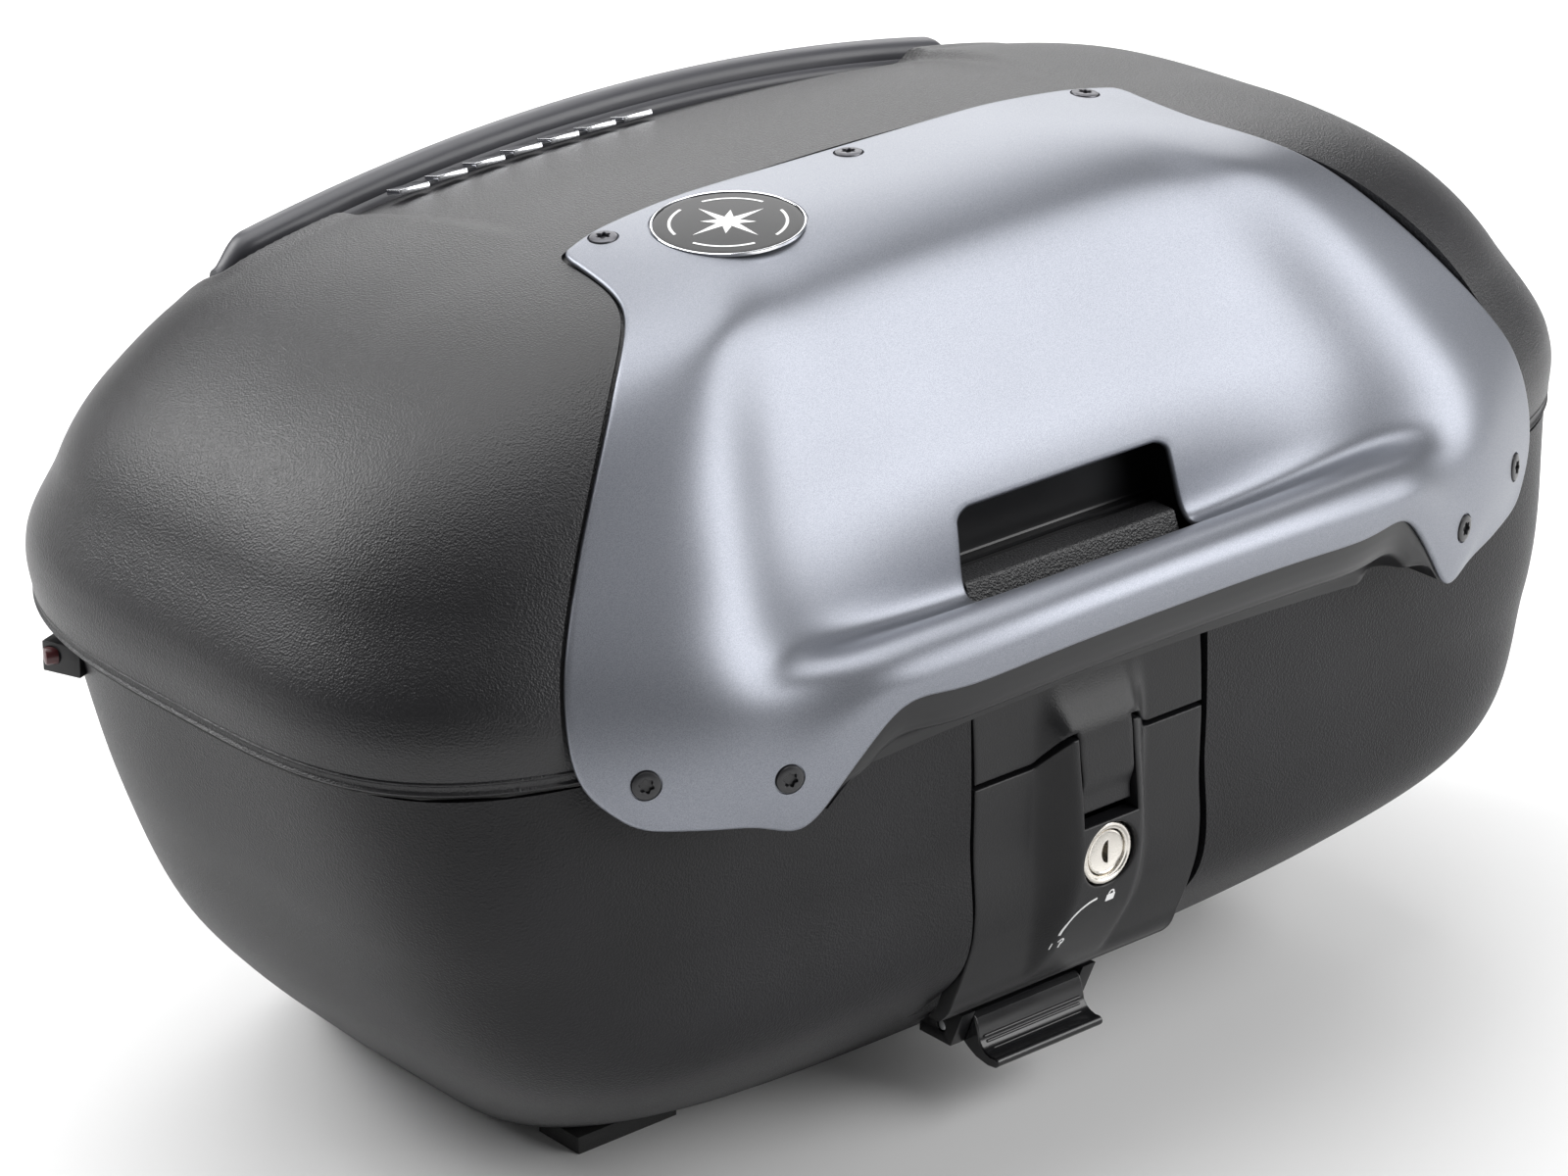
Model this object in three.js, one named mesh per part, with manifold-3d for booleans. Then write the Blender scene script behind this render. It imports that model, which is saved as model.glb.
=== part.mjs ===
// Hard motorcycle top case with a hinged lid, a silver trim panel, a keyed latch and a release lever.
// Units are millimetres, +Z is up and -Y is the front with the lock. Shapes are laid out with the
// lock's centre as the zero point and are moved to the row's origin at the end.
import * as THREE from 'three';
import { mergeVertices } from 'three/addons/utils/BufferGeometryUtils.js';
import Module from 'manifold-3d';

const wasm = await Module();
wasm.setup();

// ---- driving dimensions ----
const LOCK_UP = 106;          // lock centre above the floor
const LOCK_BACK = -153.25;    // lock face in the row's Y
const WALL = 3;               // moulded shell wall
const LID_CENTRE_Y = 150;     // widest line of the shell
const LID_RIM_Z = 86;         // lid's lower edge
const LID_TOP_Z = 214.8;      // crown of the lid
const LID_HALF_WIDTH = 278;
const LID_FRONT = 144;        // centre line to front wall
const LID_REAR = 173;         // centre line to rear wall
const BRIM_FRONT = 5;         // how far the band above the rim stands out
const BRIM_SIDE = 5;
const LID_PLAN = { rim: 4, top: 3.3, rear: 3 };          // squareness of the lid's outline
const LID_WALL = { front: 4.2, side: 5, rear: 10 };       // how upright the lid's walls stay
const LID_DOME = { front: 1.8, side: 2.5, rear: 3.6 };     // how soon they turn into the crown
const CROWN_FALL = { side: 0.00034, rear: 0.00137, front: 0.0009 };
const BASE_TOP_Z = 84;
const BASE_FLOOR_Z = -99;
const PANEL_T = 2.5;
const GAP = 0.4;
const LATCH_HALF = 52.6;
const POCKET_HALF = 54.6;
const LATCH_AXIS = [26, -46];     // y, z of the latch flap's pivot
const LEVER_AXIS = [47, -75];     // y, z of the release lever's pivot
const HINGE_AXIS = [336, 84];     // y, z of the lid hinge
const BEZEL_R = 11.7;
const PLUG_R = 8.3;
const SCREW_R = 4.9;

// levels of the base tub, floor to rim: height, half width, front y, rear y, corner squareness
const TUB = {
  z: [-99, -60, -34, 20, 84],
  half: [166, 206, 229, 256, 274],
  front: [86, 38, 13, 8, 9],
  rear: [284, 292, 298, 308, 318],
  sharpFront: [3, 5.2, 6, 6, 4.8],
  sharpRear: [5, 4, 3.4, 3, 2.9],
};

// silver panel: control rows from the top edge down to the arch, columns from the middle to the edge
const PANEL_U = [0, 0.3, 0.52, 0.64, 0.76, 0.88, 1];
const PANEL_HALF = [126, 128, 132, 143, 160, 182, 198, 210, 217, 220, 218, 202];
const PANEL_Y = [
  [142, 142, 142, 142, 141, 139, 133],
  [118, 118, 118, 117, 116, 114, 112],
  [94, 94, 94, 93, 92, 91, 93],
  [68, 68, 68, 67, 65, 71, 79],
  [54, 54, 55, 55, 58, 60, 64],
  [41, 41, 42, 41, 37, 42, 48],
  [28, 28, 28, 26, 20, 28, 37],
  [20, 20, 18, 12, 4, 15, 27],
  [17, 17, 12, 2, -5, 7, 21],
  [-21, -20, -15, -13, -11, 1, 16],
  [-38, -36, -29, -22, -14, -3, 12],
  [-35, -34, -29, -23, -13, -7, 3],
];
const PANEL_Z = [
  [215, 215, 215, 214, 213, 212, 210.5],
  [216.5, 216.5, 216, 215, 213.5, 211.5, 208.5],
  [216, 216, 215.5, 214, 212, 209.5, 206.6],
  [209, 209, 207.5, 205, 205, 204, 203],
  [186, 186, 185, 186, 199, 197, 193.5],
  [163, 163, 162, 164, 177, 175, 171],
  [145, 145, 144, 146, 154, 153, 151.5],
  [118, 118, 120, 127, 135, 135, 134],
  [94, 95, 103, 116, 119, 120, 121],
  [128, 127, 123, 115, 104, 103, 103],
  [118, 116, 108, 96, 82, 82, 84],
  [104, 103, 97, 83, 65, 66, 71],
];
const OPENING_U = 0.133;                       // half width of the finger opening along the row
const OPENING_T = [6.5 / 11, 8.35 / 11];       // its upper and lower rows

// ---- curves and surfaces ----
const clamp = (v, a, b) => Math.min(b, Math.max(a, v));
function smooth(v, a, b) {
  const t = clamp((v - a) / (b - a), 0, 1);
  return t * t * (3 - 2 * t);
}

// cubic through given heights
function curve(xs, ys, x) {
  const n = xs.length;
  const h = [];
  const d = [];
  for (let i = 0; i < n - 1; i++) {
    h.push(xs[i + 1] - xs[i]);
    d.push((ys[i + 1] - ys[i]) / h[i]);
  }
  const m = [d[0]];
  for (let i = 1; i < n - 1; i++) m.push((d[i - 1] * h[i] + d[i] * h[i - 1]) / (h[i - 1] + h[i]));
  m.push(d[n - 2]);
  let i = 0;
  while (i < n - 2 && x >= xs[i + 1]) i++;
  const t = (x - xs[i]) / h[i];
  const t2 = t * t;
  const t3 = t2 * t;
  return (2 * t3 - 3 * t2 + 1) * ys[i] + (t3 - 2 * t2 + t) * h[i] * m[i]
    + (3 * t2 - 2 * t3) * ys[i + 1] + (t3 - t2) * h[i] * m[i + 1];
}

// point on a unit rounded rectangle; angle 0 is the front, a quarter turn is +X
function plan(angle, sharpFront, sharpRear) {
  const s = Math.sin(angle);
  const c = Math.cos(angle);
  const n = c > 0 ? sharpFront : sharpRear;
  const r = (Math.abs(s) ** n + Math.abs(c) ** n) ** (-1 / n);
  return [r * s, -r * c];
}

function crownHeight(x, y) {
  const back = Math.max(0, y - 128);
  const fore = Math.max(0, 98 - y);
  return LID_TOP_Z - CROWN_FALL.side * x * x - CROWN_FALL.rear * back * back
    - CROWN_FALL.front * fore * fore;
}

// lid's outer surface: angle around the plan, rise 0 at the rim and 1 at the crown
function lidPoint(angle, rise, inset = 0) {
  const s = Math.sin(angle);
  const c = Math.cos(angle);
  const wf = Math.max(0, c) ** 2;
  const wr = Math.max(0, -c) ** 2;
  const ws = s * s;
  const mixed = (k) => wf * k.front + ws * k.side + wr * k.rear;
  const n = mixed(LID_WALL);
  const m = mixed(LID_DOME);
  const brim = wf * BRIM_FRONT + (ws + wr) * BRIM_SIDE;
  const a = (rise * Math.PI) / 2;
  const reach = Math.max(0, Math.cos(a)) ** (2 / n);
  const up = Math.sin(a) ** (2 / m);
  const bump = brim * (0.55 + 0.45 * smooth(128 * up, 0, 26)) * (1 - smooth(128 * up, 30, 66));
  const squareness = LID_PLAN.rim + (LID_PLAN.top - LID_PLAN.rim) * smooth(up, 0, 1);
  const [ux, uy] = plan(angle, squareness, LID_PLAN.rear);
  const x = ((LID_HALF_WIDTH - inset) * reach + bump) * ux;
  const depth = uy < 0 ? LID_FRONT : LID_REAR;
  const y = LID_CENTRE_Y + ((depth - inset) * reach + bump) * uy;
  return [x, y, LID_RIM_Z + (crownHeight(x, y) - inset - LID_RIM_Z) * up];
}

// height of the lid's outer surface above a plan position
function lidHeight(x, y) {
  const bearing = (px, py) => Math.atan2(px, LID_CENTRE_Y - py);
  const wanted = bearing(x, y);
  const reach = Math.hypot(x, y - LID_CENTRE_Y);
  let angle = wanted;
  let lo = 0;
  let hi = 1;
  let edge = lidPoint(angle, 1);
  for (let k = 0; k < 30; k++) {
    const rise = (lo + hi) / 2;
    for (let i = 0; i < 14; i++) {
      edge = lidPoint(angle, rise);
      const off = wanted - bearing(edge[0], edge[1]);
      angle += 0.6 * Math.atan2(Math.sin(off), Math.cos(off));
    }
    if (reach < Math.hypot(edge[0], edge[1] - LID_CENTRE_Y)) lo = rise;
    else hi = rise;
  }
  return edge[2];
}

function tubPoint(angle, z, inset = 0) {
  const half = curve(TUB.z, TUB.half, z) - inset;
  const front = curve(TUB.z, TUB.front, z) + inset;
  const rear = curve(TUB.z, TUB.rear, z) - inset;
  const [ux, uy] = plan(angle, curve(TUB.z, TUB.sharpFront, z), curve(TUB.z, TUB.sharpRear, z));
  const y = LID_CENTRE_Y + (uy < 0 ? LID_CENTRE_Y - front : rear - LID_CENTRE_Y) * uy;
  return [half * ux, y, z];
}

// uniform cubic B-spline over the panel's rows and columns
function blend(t, n) {
  const f = t * (n - 1);
  const i = clamp(Math.floor(f), 0, n - 2);
  const r = f - i;
  const w = [(1 - r) ** 3, 3 * r ** 3 - 6 * r ** 2 + 4, -3 * r ** 3 + 3 * r ** 2 + 3 * r + 1, r ** 3];
  return [i, w.map((v) => v / 6)];
}
function netValue(net, u, t, sign) {
  const rows = net.length;
  const cols = net[0].length;
  const at = (i, j) => {
    if (i < 0) return 2 * at(0, j) - at(1, j);
    if (i >= rows) return 2 * at(rows - 1, j) - at(rows - 2, j);
    if (j < 0) return sign * net[i][1];
    if (j >= cols) return 2 * net[i][cols - 1] - net[i][cols - 2];
    return net[i][j];
  };
  const [j0, wj] = blend(Math.abs(u), cols);
  const [i0, wi] = blend(t, rows);
  let sum = 0;
  for (let a = 0; a < 4; a++) {
    for (let b = 0; b < 4; b++) sum += wi[a] * wj[b] * at(i0 + a - 1, j0 + b - 1);
  }
  return sum;
}
const PANEL_X = PANEL_HALF.map((w) => PANEL_U.map((u) => u * w));
function panelPoint(u, t) {
  const x = netValue(PANEL_X, u, t, -1) * (u < 0 ? -1 : 1);
  return [x, netValue(PANEL_Y, u, t, 1), netValue(PANEL_Z, u, t, 1)];
}
function panelNormal(u, t) {
  const e = 0.004;
  const a = new THREE.Vector3(...panelPoint(u + e, t)).sub(new THREE.Vector3(...panelPoint(u - e, t)));
  const b = new THREE.Vector3(...panelPoint(u, t + e)).sub(new THREE.Vector3(...panelPoint(u, t - e)));
  return b.cross(a).normalize();
}

// ---- mesh helpers ----
function geometryOf(points, faces) {
  const g = new THREE.BufferGeometry();
  g.setAttribute('position', new THREE.Float32BufferAttribute(points.flat(), 3));
  g.setIndex(faces.flat());
  return g;
}
function solid(geometry) {
  let g = geometry.clone();
  g.deleteAttribute('normal');
  g.deleteAttribute('uv');
  g = mergeVertices(g, 1e-4);
  const index = Array.from(g.index.array);
  const kept = [];
  for (let i = 0; i < index.length; i += 3) {
    const [a, b, c] = index.slice(i, i + 3);
    if (a !== b && b !== c && a !== c) kept.push(a, b, c);
  }
  const mesh = new wasm.Mesh({
    numProp: 3,
    vertProperties: new Float32Array(g.attributes.position.array),
    triVerts: new Uint32Array(kept),
  });
  return new wasm.Manifold(mesh);
}
function surface(manifold) {
  const mesh = manifold.getMesh();
  const g = new THREE.BufferGeometry();
  g.setAttribute('position', new THREE.BufferAttribute(new Float32Array(mesh.vertProperties), 3));
  g.setIndex(Array.from(mesh.triVerts));
  return g;
}

// closed body through rings of equal length, listed upwards, each anticlockwise seen from above
function ringBody(rings) {
  const points = [];
  const faces = [];
  const n = rings[0].length;
  for (const ring of rings) points.push(...ring);
  for (let i = 0; i < rings.length - 1; i++) {
    for (let j = 0; j < n; j++) {
      const k = (j + 1) % n;
      const a = i * n + j;
      const b = i * n + k;
      faces.push([a, b, b + n], [a, b + n, a + n]);
    }
  }
  const middle = (ring) => ring.reduce((m, p) => m.map((v, i) => v + p[i] / n), [0, 0, 0]);
  const low = points.push(middle(rings[0])) - 1;
  const high = points.push(middle(rings[rings.length - 1])) - 1;
  const last = (rings.length - 1) * n;
  for (let j = 0; j < n; j++) {
    const k = (j + 1) % n;
    faces.push([k, j, low], [last + j, last + k, high]);
  }
  return geometryOf(points, faces);
}

// sheet over the panel's rows and columns with a thickness each side, and an optional window
function sheetBody(us, ts, out, inn, window) {
  const points = [];
  const faces = [];
  const nu = us.length;
  for (const side of [out, inn]) {
    for (const t of ts) {
      for (const u of us) {
        const p = panelPoint(u, t);
        const n = panelNormal(u, t);
        points.push([p[0] + n.x * side, p[1] + n.y * side, p[2] + n.z * side]);
      }
    }
  }
  const layer = nu * ts.length;
  const solidCell = (i, j) => {
    if (i < 0 || j < 0 || i >= ts.length - 1 || j >= nu - 1) return false;
    if (!window) return true;
    const u = (us[j] + us[j + 1]) / 2;
    const t = (ts[i] + ts[i + 1]) / 2;
    return !(Math.abs(u) < window.u && t > window.t[0] && t < window.t[1]);
  };
  const wall = (a, b) => faces.push([a, b, b + layer], [a, b + layer, a + layer]);
  for (let i = 0; i < ts.length - 1; i++) {
    for (let j = 0; j < nu - 1; j++) {
      if (!solidCell(i, j)) continue;
      const a = i * nu + j;
      const b = a + 1;
      const c = a + nu + 1;
      const d = a + nu;
      faces.push([a, d, c], [a, c, b]);
      faces.push([a + layer, c + layer, d + layer], [a + layer, b + layer, c + layer]);
      if (!solidCell(i - 1, j)) wall(a, b);
      if (!solidCell(i + 1, j)) wall(c, d);
      if (!solidCell(i, j - 1)) wall(d, a);
      if (!solidCell(i, j + 1)) wall(b, c);
    }
  }
  return geometryOf(points, faces);
}
const spread = (a, b, n) => Array.from({ length: n + 1 }, (_, i) => a + ((b - a) * i) / n);

function box(x0, x1, y0, y1, z0, z1) {
  const g = new THREE.BoxGeometry(x1 - x0, y1 - y0, z1 - z0);
  g.translate((x0 + x1) / 2, (y0 + y1) / 2, (z0 + z1) / 2);
  return g;
}
// outline given as y, z pairs, pushed along X
function prismX(outline, x0, x1) {
  const shape = new THREE.Shape(outline.map(([y, z]) => new THREE.Vector2(y, z)));
  const g = new THREE.ExtrudeGeometry(shape, { depth: x1 - x0, bevelEnabled: false });
  const m = new THREE.Matrix4().makeBasis(
    new THREE.Vector3(0, 1, 0), new THREE.Vector3(0, 0, 1), new THREE.Vector3(1, 0, 0));
  g.applyMatrix4(m);
  g.translate(x0, 0, 0);
  return g;
}
// outline given as x, z pairs, pushed from y1 towards the front
function prismY(outline, y0, y1) {
  const shape = new THREE.Shape(outline.map(([x, z]) => new THREE.Vector2(x, z)));
  const g = new THREE.ExtrudeGeometry(shape, { depth: y1 - y0, bevelEnabled: false });
  g.rotateX(Math.PI / 2);
  g.translate(0, y1, 0);
  return g;
}
function rodX(r, x0, x1, y, z, n = 24) {
  const g = new THREE.CylinderGeometry(r, r, x1 - x0, n);
  g.rotateZ(Math.PI / 2);
  g.translate((x0 + x1) / 2, y, z);
  return g;
}
function rodY(r, y0, y1, x = 0, z = 0, n = 32) {
  const g = new THREE.CylinderGeometry(r, r, y1 - y0, n);
  g.translate(x, (y0 + y1) / 2, z);
  return g;
}

// ---- assembly ----
const topCase = new THREE.Group();
topCase.name = 'top_case';
const COLOURS = {
  shell: [0x2b2b2e, 0.62, 0],
  satin: [0x1d1d20, 0.42, 0],
  silver: [0x9aa0a8, 0.34, 0.75],
  gloss: [0x101012, 0.2, 0],
  nickel: [0xc3c0ba, 0.28, 1],
  chrome: [0xd9dbde, 0.1, 1],
  rubber: [0x19191a, 0.85, 0],
  steel: [0x8b8d90, 0.35, 1],
  dark: [0x151517, 0.5, 0],
  screw: [0x1c1c1e, 0.35, 0.6],
};
function add(name, geometry, look) {
  const [color, roughness, metalness] = COLOURS[look];
  const g = geometry.index ? geometry.toNonIndexed() : geometry.clone();
  g.deleteAttribute('uv');
  g.translate(0, LOCK_BACK, LOCK_UP);
  g.computeVertexNormals();
  const mesh = new THREE.Mesh(g, new THREE.MeshStandardMaterial({ color, roughness, metalness }));
  mesh.name = name;
  topCase.add(mesh);
}

const ANGLES = spread(-Math.PI, Math.PI, 56).slice(0, 56);
const ringAt = (fn) => ANGLES.map(fn);

// base tub with a pocket for the latch
const tubLevels = [-99, -84, -68, -52, -40, -30, -10, 20, 52, 84];
const tubOuter = solid(ringBody(tubLevels.map((z) => ringAt((a) => tubPoint(a, z)))));
const innerLevels = [-96, -82, -66, -50, -38, -28, -8, 22, 54, 90];
const tubInner = solid(ringBody(innerLevels.map((z) => ringAt((a) => {
  const p = tubPoint(a, Math.min(z, 84), WALL);
  return [p[0], p[1], z];
}))));
const pocket = (g) => solid(box(-POCKET_HALF - g, POCKET_HALF + g, -60, 20 + g, -64 - g, 90 + g))
  .add(solid(box(-POCKET_HALF - g, POCKET_HALF + g, -60, 38.5 + g, -66 - g, -30 + g)));
const tub = tubOuter.subtract(pocket(0)).subtract(tubInner.subtract(pocket(WALL)));
add('base_shell', surface(tub), 'shell');

// rows and columns of the panel's mesh
const half = [0.07, OPENING_U, 0.2, 0.27, 0.34, 0.41, 0.48, 0.54, 0.6, 0.66, 0.74, 0.83, 0.92, 1];
const panelUs = [...half.map((v) => -v).reverse(), 0, ...half];
const panelTs = [0, 0.06, 0.13, 0.19, 0.24, 0.29, 0.34, 0.42, 0.5, 0.55, OPENING_T[0], 0.65, 0.7,
  OPENING_T[1], 0.81, 0.85, 0.89, 0.93, 0.965, 1];

// lid with a seat for the panel and a hole for the finger recess
const lidRises = [0, 0.07, 0.14, 0.22, 0.3, 0.4, 0.5, 0.62, 0.72, 0.8, 0.86, 0.91, 0.95, 0.98, 0.997];
const lidOuter = solid(ringBody(lidRises.map((s) => ringAt((a) => lidPoint(a, s)))));
function underPanel(p) {
  const width = curve([97, 161, 219, 282, 344], [220, 210, 182, 143, 124], p[1] + p[2]);
  return (1 - smooth(Math.abs(p[0]), width - 8, width + 8)) * (1 - smooth(p[1], 132, 150));
}
const lidInner = solid(ringBody([[0, -4], ...lidRises.map((s) => [s, 0])].map(([s, drop]) => ringAt((a) => {
  const deep = WALL + 12 * underPanel(lidPoint(a, s));
  const p = lidPoint(a, s, deep);
  return [p[0], p[1], p[2] + drop];
}))));
const grow = (list, by) => list.map((v, i) => (i === 0 ? v - by : i === list.length - 1 ? v + by : v));
const seat = solid(sheetBody(grow(panelUs, 0.012), grow(panelTs, 0.008), 14, -PANEL_T - GAP));
const recessHole = solid(box(-56.5, 56.5, -30, 70, 84.8, 142));
const lid = lidOuter.subtract(lidInner).subtract(seat).subtract(recessHole);
const lidParts = lid.decompose().sort((a, b) => b.volume() - a.volume());
add('lid_shell', surface(lidParts[0]), 'shell');

// silver panel
const panelWindow = { u: OPENING_U, t: OPENING_T };
add('trim_panel', sheetBody(panelUs, panelTs, 0, -PANEL_T, panelWindow), 'silver');

// finger recess behind the opening
const aboveRecess = seat;
const trayOutside = [[-4, 98], [6, 86], [48, 86], [48, 140], [-4, 140]];
const trayInside = [[-1.5, 99.2], [7.2, 88.6], [45.5, 88.6], [45.5, 160], [-1.5, 160]];
let tray = solid(prismX(trayOutside, -56, 56)).subtract(solid(prismX(trayInside, -53.5, 53.5)));
tray = tray.add(solid(box(-53.8, 53.8, 38.4, 46, 87, 139))).add(solid(box(-53.8, 53.8, 30.6, 39, 87, 106.5)));
tray = tray.subtract(aboveRecess);
const trayParts = tray.decompose().sort((a, b) => b.volume() - a.volume());
add('recess_tray', surface(trayParts[0]), 'dark');
add('grip_strip', prismX([[12, 89], [30.2, 89], [30.2, 107], [19.5, 107]], -48, 48), 'rubber');

// dark trim under the panel's arch
function archRow(x) {
  let u = x / 240;
  for (let k = 0; k < 60; k++) u += (x - panelPoint(u, 1)[0]) / 330;
  return panelPoint(u, 1);
}
const apronXs = spread(-150, 150, 30);
const apronRow = (x) => {
  const e = archRow(x);
  const lowZ = 66 - 4 * (x / 130) ** 2;
  const lowY = 5.2 - 1.4 * (x / 150) ** 2;
  const k = smooth(Math.abs(x), 150, 128);
  const z = Math.min(e[2] - 4.5, lowZ * k + (e[2] - 8) * (1 - k));
  const start = [x, e[1] + 3.4, e[2] - 1.2];
  const end = [x, Math.max(lowY, e[1] + 6), z];
  const at = (fy, fz) => [x, start[1] + (end[1] - start[1]) * fy, start[2] + (end[2] - start[2]) * fz];
  return [start, at(0.38, 0.17), at(0.7, 0.4), at(0.92, 0.7), end];
};
function ribbonBody(rows, thick) {
  const points = [];
  const faces = [];
  const n = rows[0].length;
  for (const lift of [0, thick]) {
    for (const row of rows) for (const p of row) points.push([p[0], p[1] + lift, p[2] + lift * 0.35]);
  }
  const layer = rows.length * n;
  const wall = (a, b) => faces.push([a, b, b + layer], [a, b + layer, a + layer]);
  for (let i = 0; i < rows.length - 1; i++) {
    for (let j = 0; j < n - 1; j++) {
      const a = i * n + j;
      faces.push([a, a + 1, a + n + 1], [a, a + n + 1, a + n]);
      faces.push([a + layer, a + n + 1 + layer, a + 1 + layer], [a + layer, a + n + layer, a + n + 1 + layer]);
    }
  }
  for (let i = 0; i < rows.length - 1; i++) {
    wall(i * n, (i + 1) * n);
    wall((i + 1) * n + n - 1, i * n + n - 1);
  }
  for (let j = 0; j < n - 1; j++) {
    wall(j + 1, j);
    wall((rows.length - 1) * n + j, (rows.length - 1) * n + j + 1);
  }
  return geometryOf(points, faces);
}
const apron = solid(ribbonBody(apronXs.map(apronRow), 2.4));
if (apron.volume() < 0) throw new Error('apron is inside out');
add('arch_trim', surface(apron), 'satin');

// hasp plate on the lid, with a tongue that drops into the latch
const haspOutline = [[-LATCH_HALF, 36.9], [-27.8, 36.9], [-27.8, 48.8], [-11.6, 48.8], [-11.6, 14.4],
  [11.6, 14.4], [11.6, 48.8], [27.8, 48.8], [27.8, 36.9], [LATCH_HALF, 36.9], [LATCH_HALF, 62.5],
  [-LATCH_HALF, 62.5]];
const hasp = solid(prismY(haspOutline, 8.4, 14))
  .add(solid(prismX([[9.5, 58], [13.5, 58], [13.5, 83.8], [9.5, 83.8]], -50, 50)));
add('hasp_plate', surface(hasp), 'satin');

// latch flap
const flapFace = (z) => curve([-59, -54, -41, -27, -15, 10, 35, 48], [27, 21, 14, 11, 9.6, 8.3, 7.7, 8.6], z);
const ribFace = (z) => curve([-53, -47, -38, -20, -14, 36, 48], [21, 16, 10, 1, -1, -1, 1], z);
const flapZs = spread(-59, 48.4, 22);
const flapProfile = [...flapZs.map((z) => [flapFace(z), z]),
  ...[...flapZs].reverse().map((z) => [Math.min(flapFace(z) + 7, 24 + Math.max(0, -46 - z) * 0.6), z])];
const flapOutline = [[-LATCH_HALF, -59], [LATCH_HALF, -59], [LATCH_HALF, 36.4], [27.2, 36.4],
  [27.2, 48.2], [12.4, 48.2], [12.4, 13.4], [-12.4, 13.4], [-12.4, 48.2], [-27.2, 48.2],
  [-27.2, 36.4], [-LATCH_HALF, 36.4]];
const ribRings = [-50, -44, -38, -28, -20, -12, 10, 36, 48.2].map((z) => {
  const back = flapFace(z) + 4;
  const crest = Math.min(ribFace(z), flapFace(z) - 0.2);
  const foot = 26 - 6 * smooth(-z, 20, 50);
  return [[-foot, back, z], [-foot, flapFace(z) - 0.1, z], [-14.4, crest, z], [14.4, crest, z],
    [foot, flapFace(z) - 0.1, z], [foot, back, z]];
});
let flap = solid(prismX(flapProfile, -LATCH_HALF, LATCH_HALF)).add(solid(ringBody(ribRings)));
flap = flap.intersect(solid(prismY(flapOutline, -20, 50)));
for (const x of [-24, 24]) {
  flap = flap.add(solid(box(x - 5, x + 5, 17, 26, -50, -42)));
  flap = flap.add(solid(rodX(4.2, x - 5, x + 5, ...LATCH_AXIS)));
}
for (const x of [-33.8, 33.8]) flap = flap.subtract(solid(box(x - 4.6, x + 4.6, 21, 50, -53.6, -37)));
flap = flap.subtract(solid(rodX(2.3, -40, 40, ...LATCH_AXIS)));
flap = flap.subtract(solid(rodY(BEZEL_R + 0.3, -30, 2.6))).subtract(solid(rodY(PLUG_R + 0.3, -30, 60)));
add('latch_flap', surface(flap), 'satin');
let bracket = solid(box(-38, 38, 33, 38.1, -48, -38));
for (const x of [-33.5, 33.5]) bracket = bracket.add(solid(box(x - 3, x + 3, 22.4, 34, -49.5, -41)));
bracket = bracket.subtract(solid(rodX(2.3, -40, 40, ...LATCH_AXIS)));
add('latch_bracket', surface(bracket), 'steel');
add('latch_pin', rodX(2, -37, 37, ...LATCH_AXIS), 'steel');

// lock
const bezel = solid(rodY(BEZEL_R, -1.9, 2.2, 0, 0, 48)).subtract(solid(rodY(PLUG_R + 0.3, -10, 10)));
add('lock_bezel', surface(bezel), 'nickel');
const keyway = prismY([[-1.3, -4.6], [1.3, -4.6], [1.3, 1.2], [2.6, 2.6], [1.3, 4.6], [-1.3, 4.6]], -3, 5);
add('lock_plug', surface(solid(rodY(PLUG_R, -1.3, 16.2, 0, 0, 40)).subtract(solid(keyway))), 'nickel');
const cam = solid(rodY(6, 16.6, 18.8)).add(solid(box(-4, 4, 16.6, 18.8, 0, 15)));
add('lock_cam', surface(cam), 'steel');

// release lever under the latch
const leverOutline = [[36, -69.5], [32.5, -77], [25, -82], [26, -86], [37, -85], [44, -80.5],
  [50.5, -78.5], [50, -73], [44, -70]];
let lever = solid(prismX(leverOutline, -25, 25));
lever = lever.subtract(solid(rodX(2.3, -40, 40, ...LEVER_AXIS)));
add('release_lever', surface(lever), 'gloss');
for (const [side, x] of [['left', -28.5], ['right', 28.5]]) {
  const ear = solid(prismX([[36, -67], [45.4, -67], [58, -77.5], [58, -81], [42, -81]], x - 3, x + 3));
  add(`lever_ear_${side}`, surface(ear.subtract(solid(rodX(2.3, -40, 40, ...LEVER_AXIS)))), 'dark');
}
add('lever_pin', rodX(2, -31, 31, ...LEVER_AXIS), 'steel');

// seal under the lid's rim
const sealRing = (inset, z) => ringAt((a) => {
  const p = lidPoint(a, 0, inset);
  return [p[0], p[1], z];
});
const seal = solid(ringBody([sealRing(1, 84.4), sealRing(1, 85.6)]))
  .subtract(solid(ringBody([sealRing(10, 80), sealRing(10, 90)])));
add('rim_seal', surface(seal), 'rubber');

// rail across the back of the lid
const railRows = spread(-170, 170, 24).map((x) => {
  const crest = 201.5 - 0.00062 * x * x;
  const back = 275 - 0.0001 * x * x;
  const front = 258.5 + 5 * smooth(Math.abs(x), 135, 170);
  const deck = (y) => lidHeight(x, y) + 0.4;
  const top = (y, drop) => [x, y, Math.max(crest - drop, deck(y) + 1.5)];
  return [[x, front, deck(front)], top(front, 2.4), top(front + 3.5, 0.2), top(back - 4, 0.6), top(back, 4),
    [x, back, deck(back)]];
});
const railMesh = [];
for (const row of railRows) railMesh.push(row.map(([x, y, z]) => [y, z, x]));
const railBody = ringBody(railMesh.map((r) => r.slice().reverse()));
const toWorld = new THREE.Matrix4().makeBasis(
  new THREE.Vector3(0, 1, 0), new THREE.Vector3(0, 0, 1), new THREE.Vector3(1, 0, 0));
railBody.applyMatrix4(toWorld);
add('rear_rail', railBody, 'satin');

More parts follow.
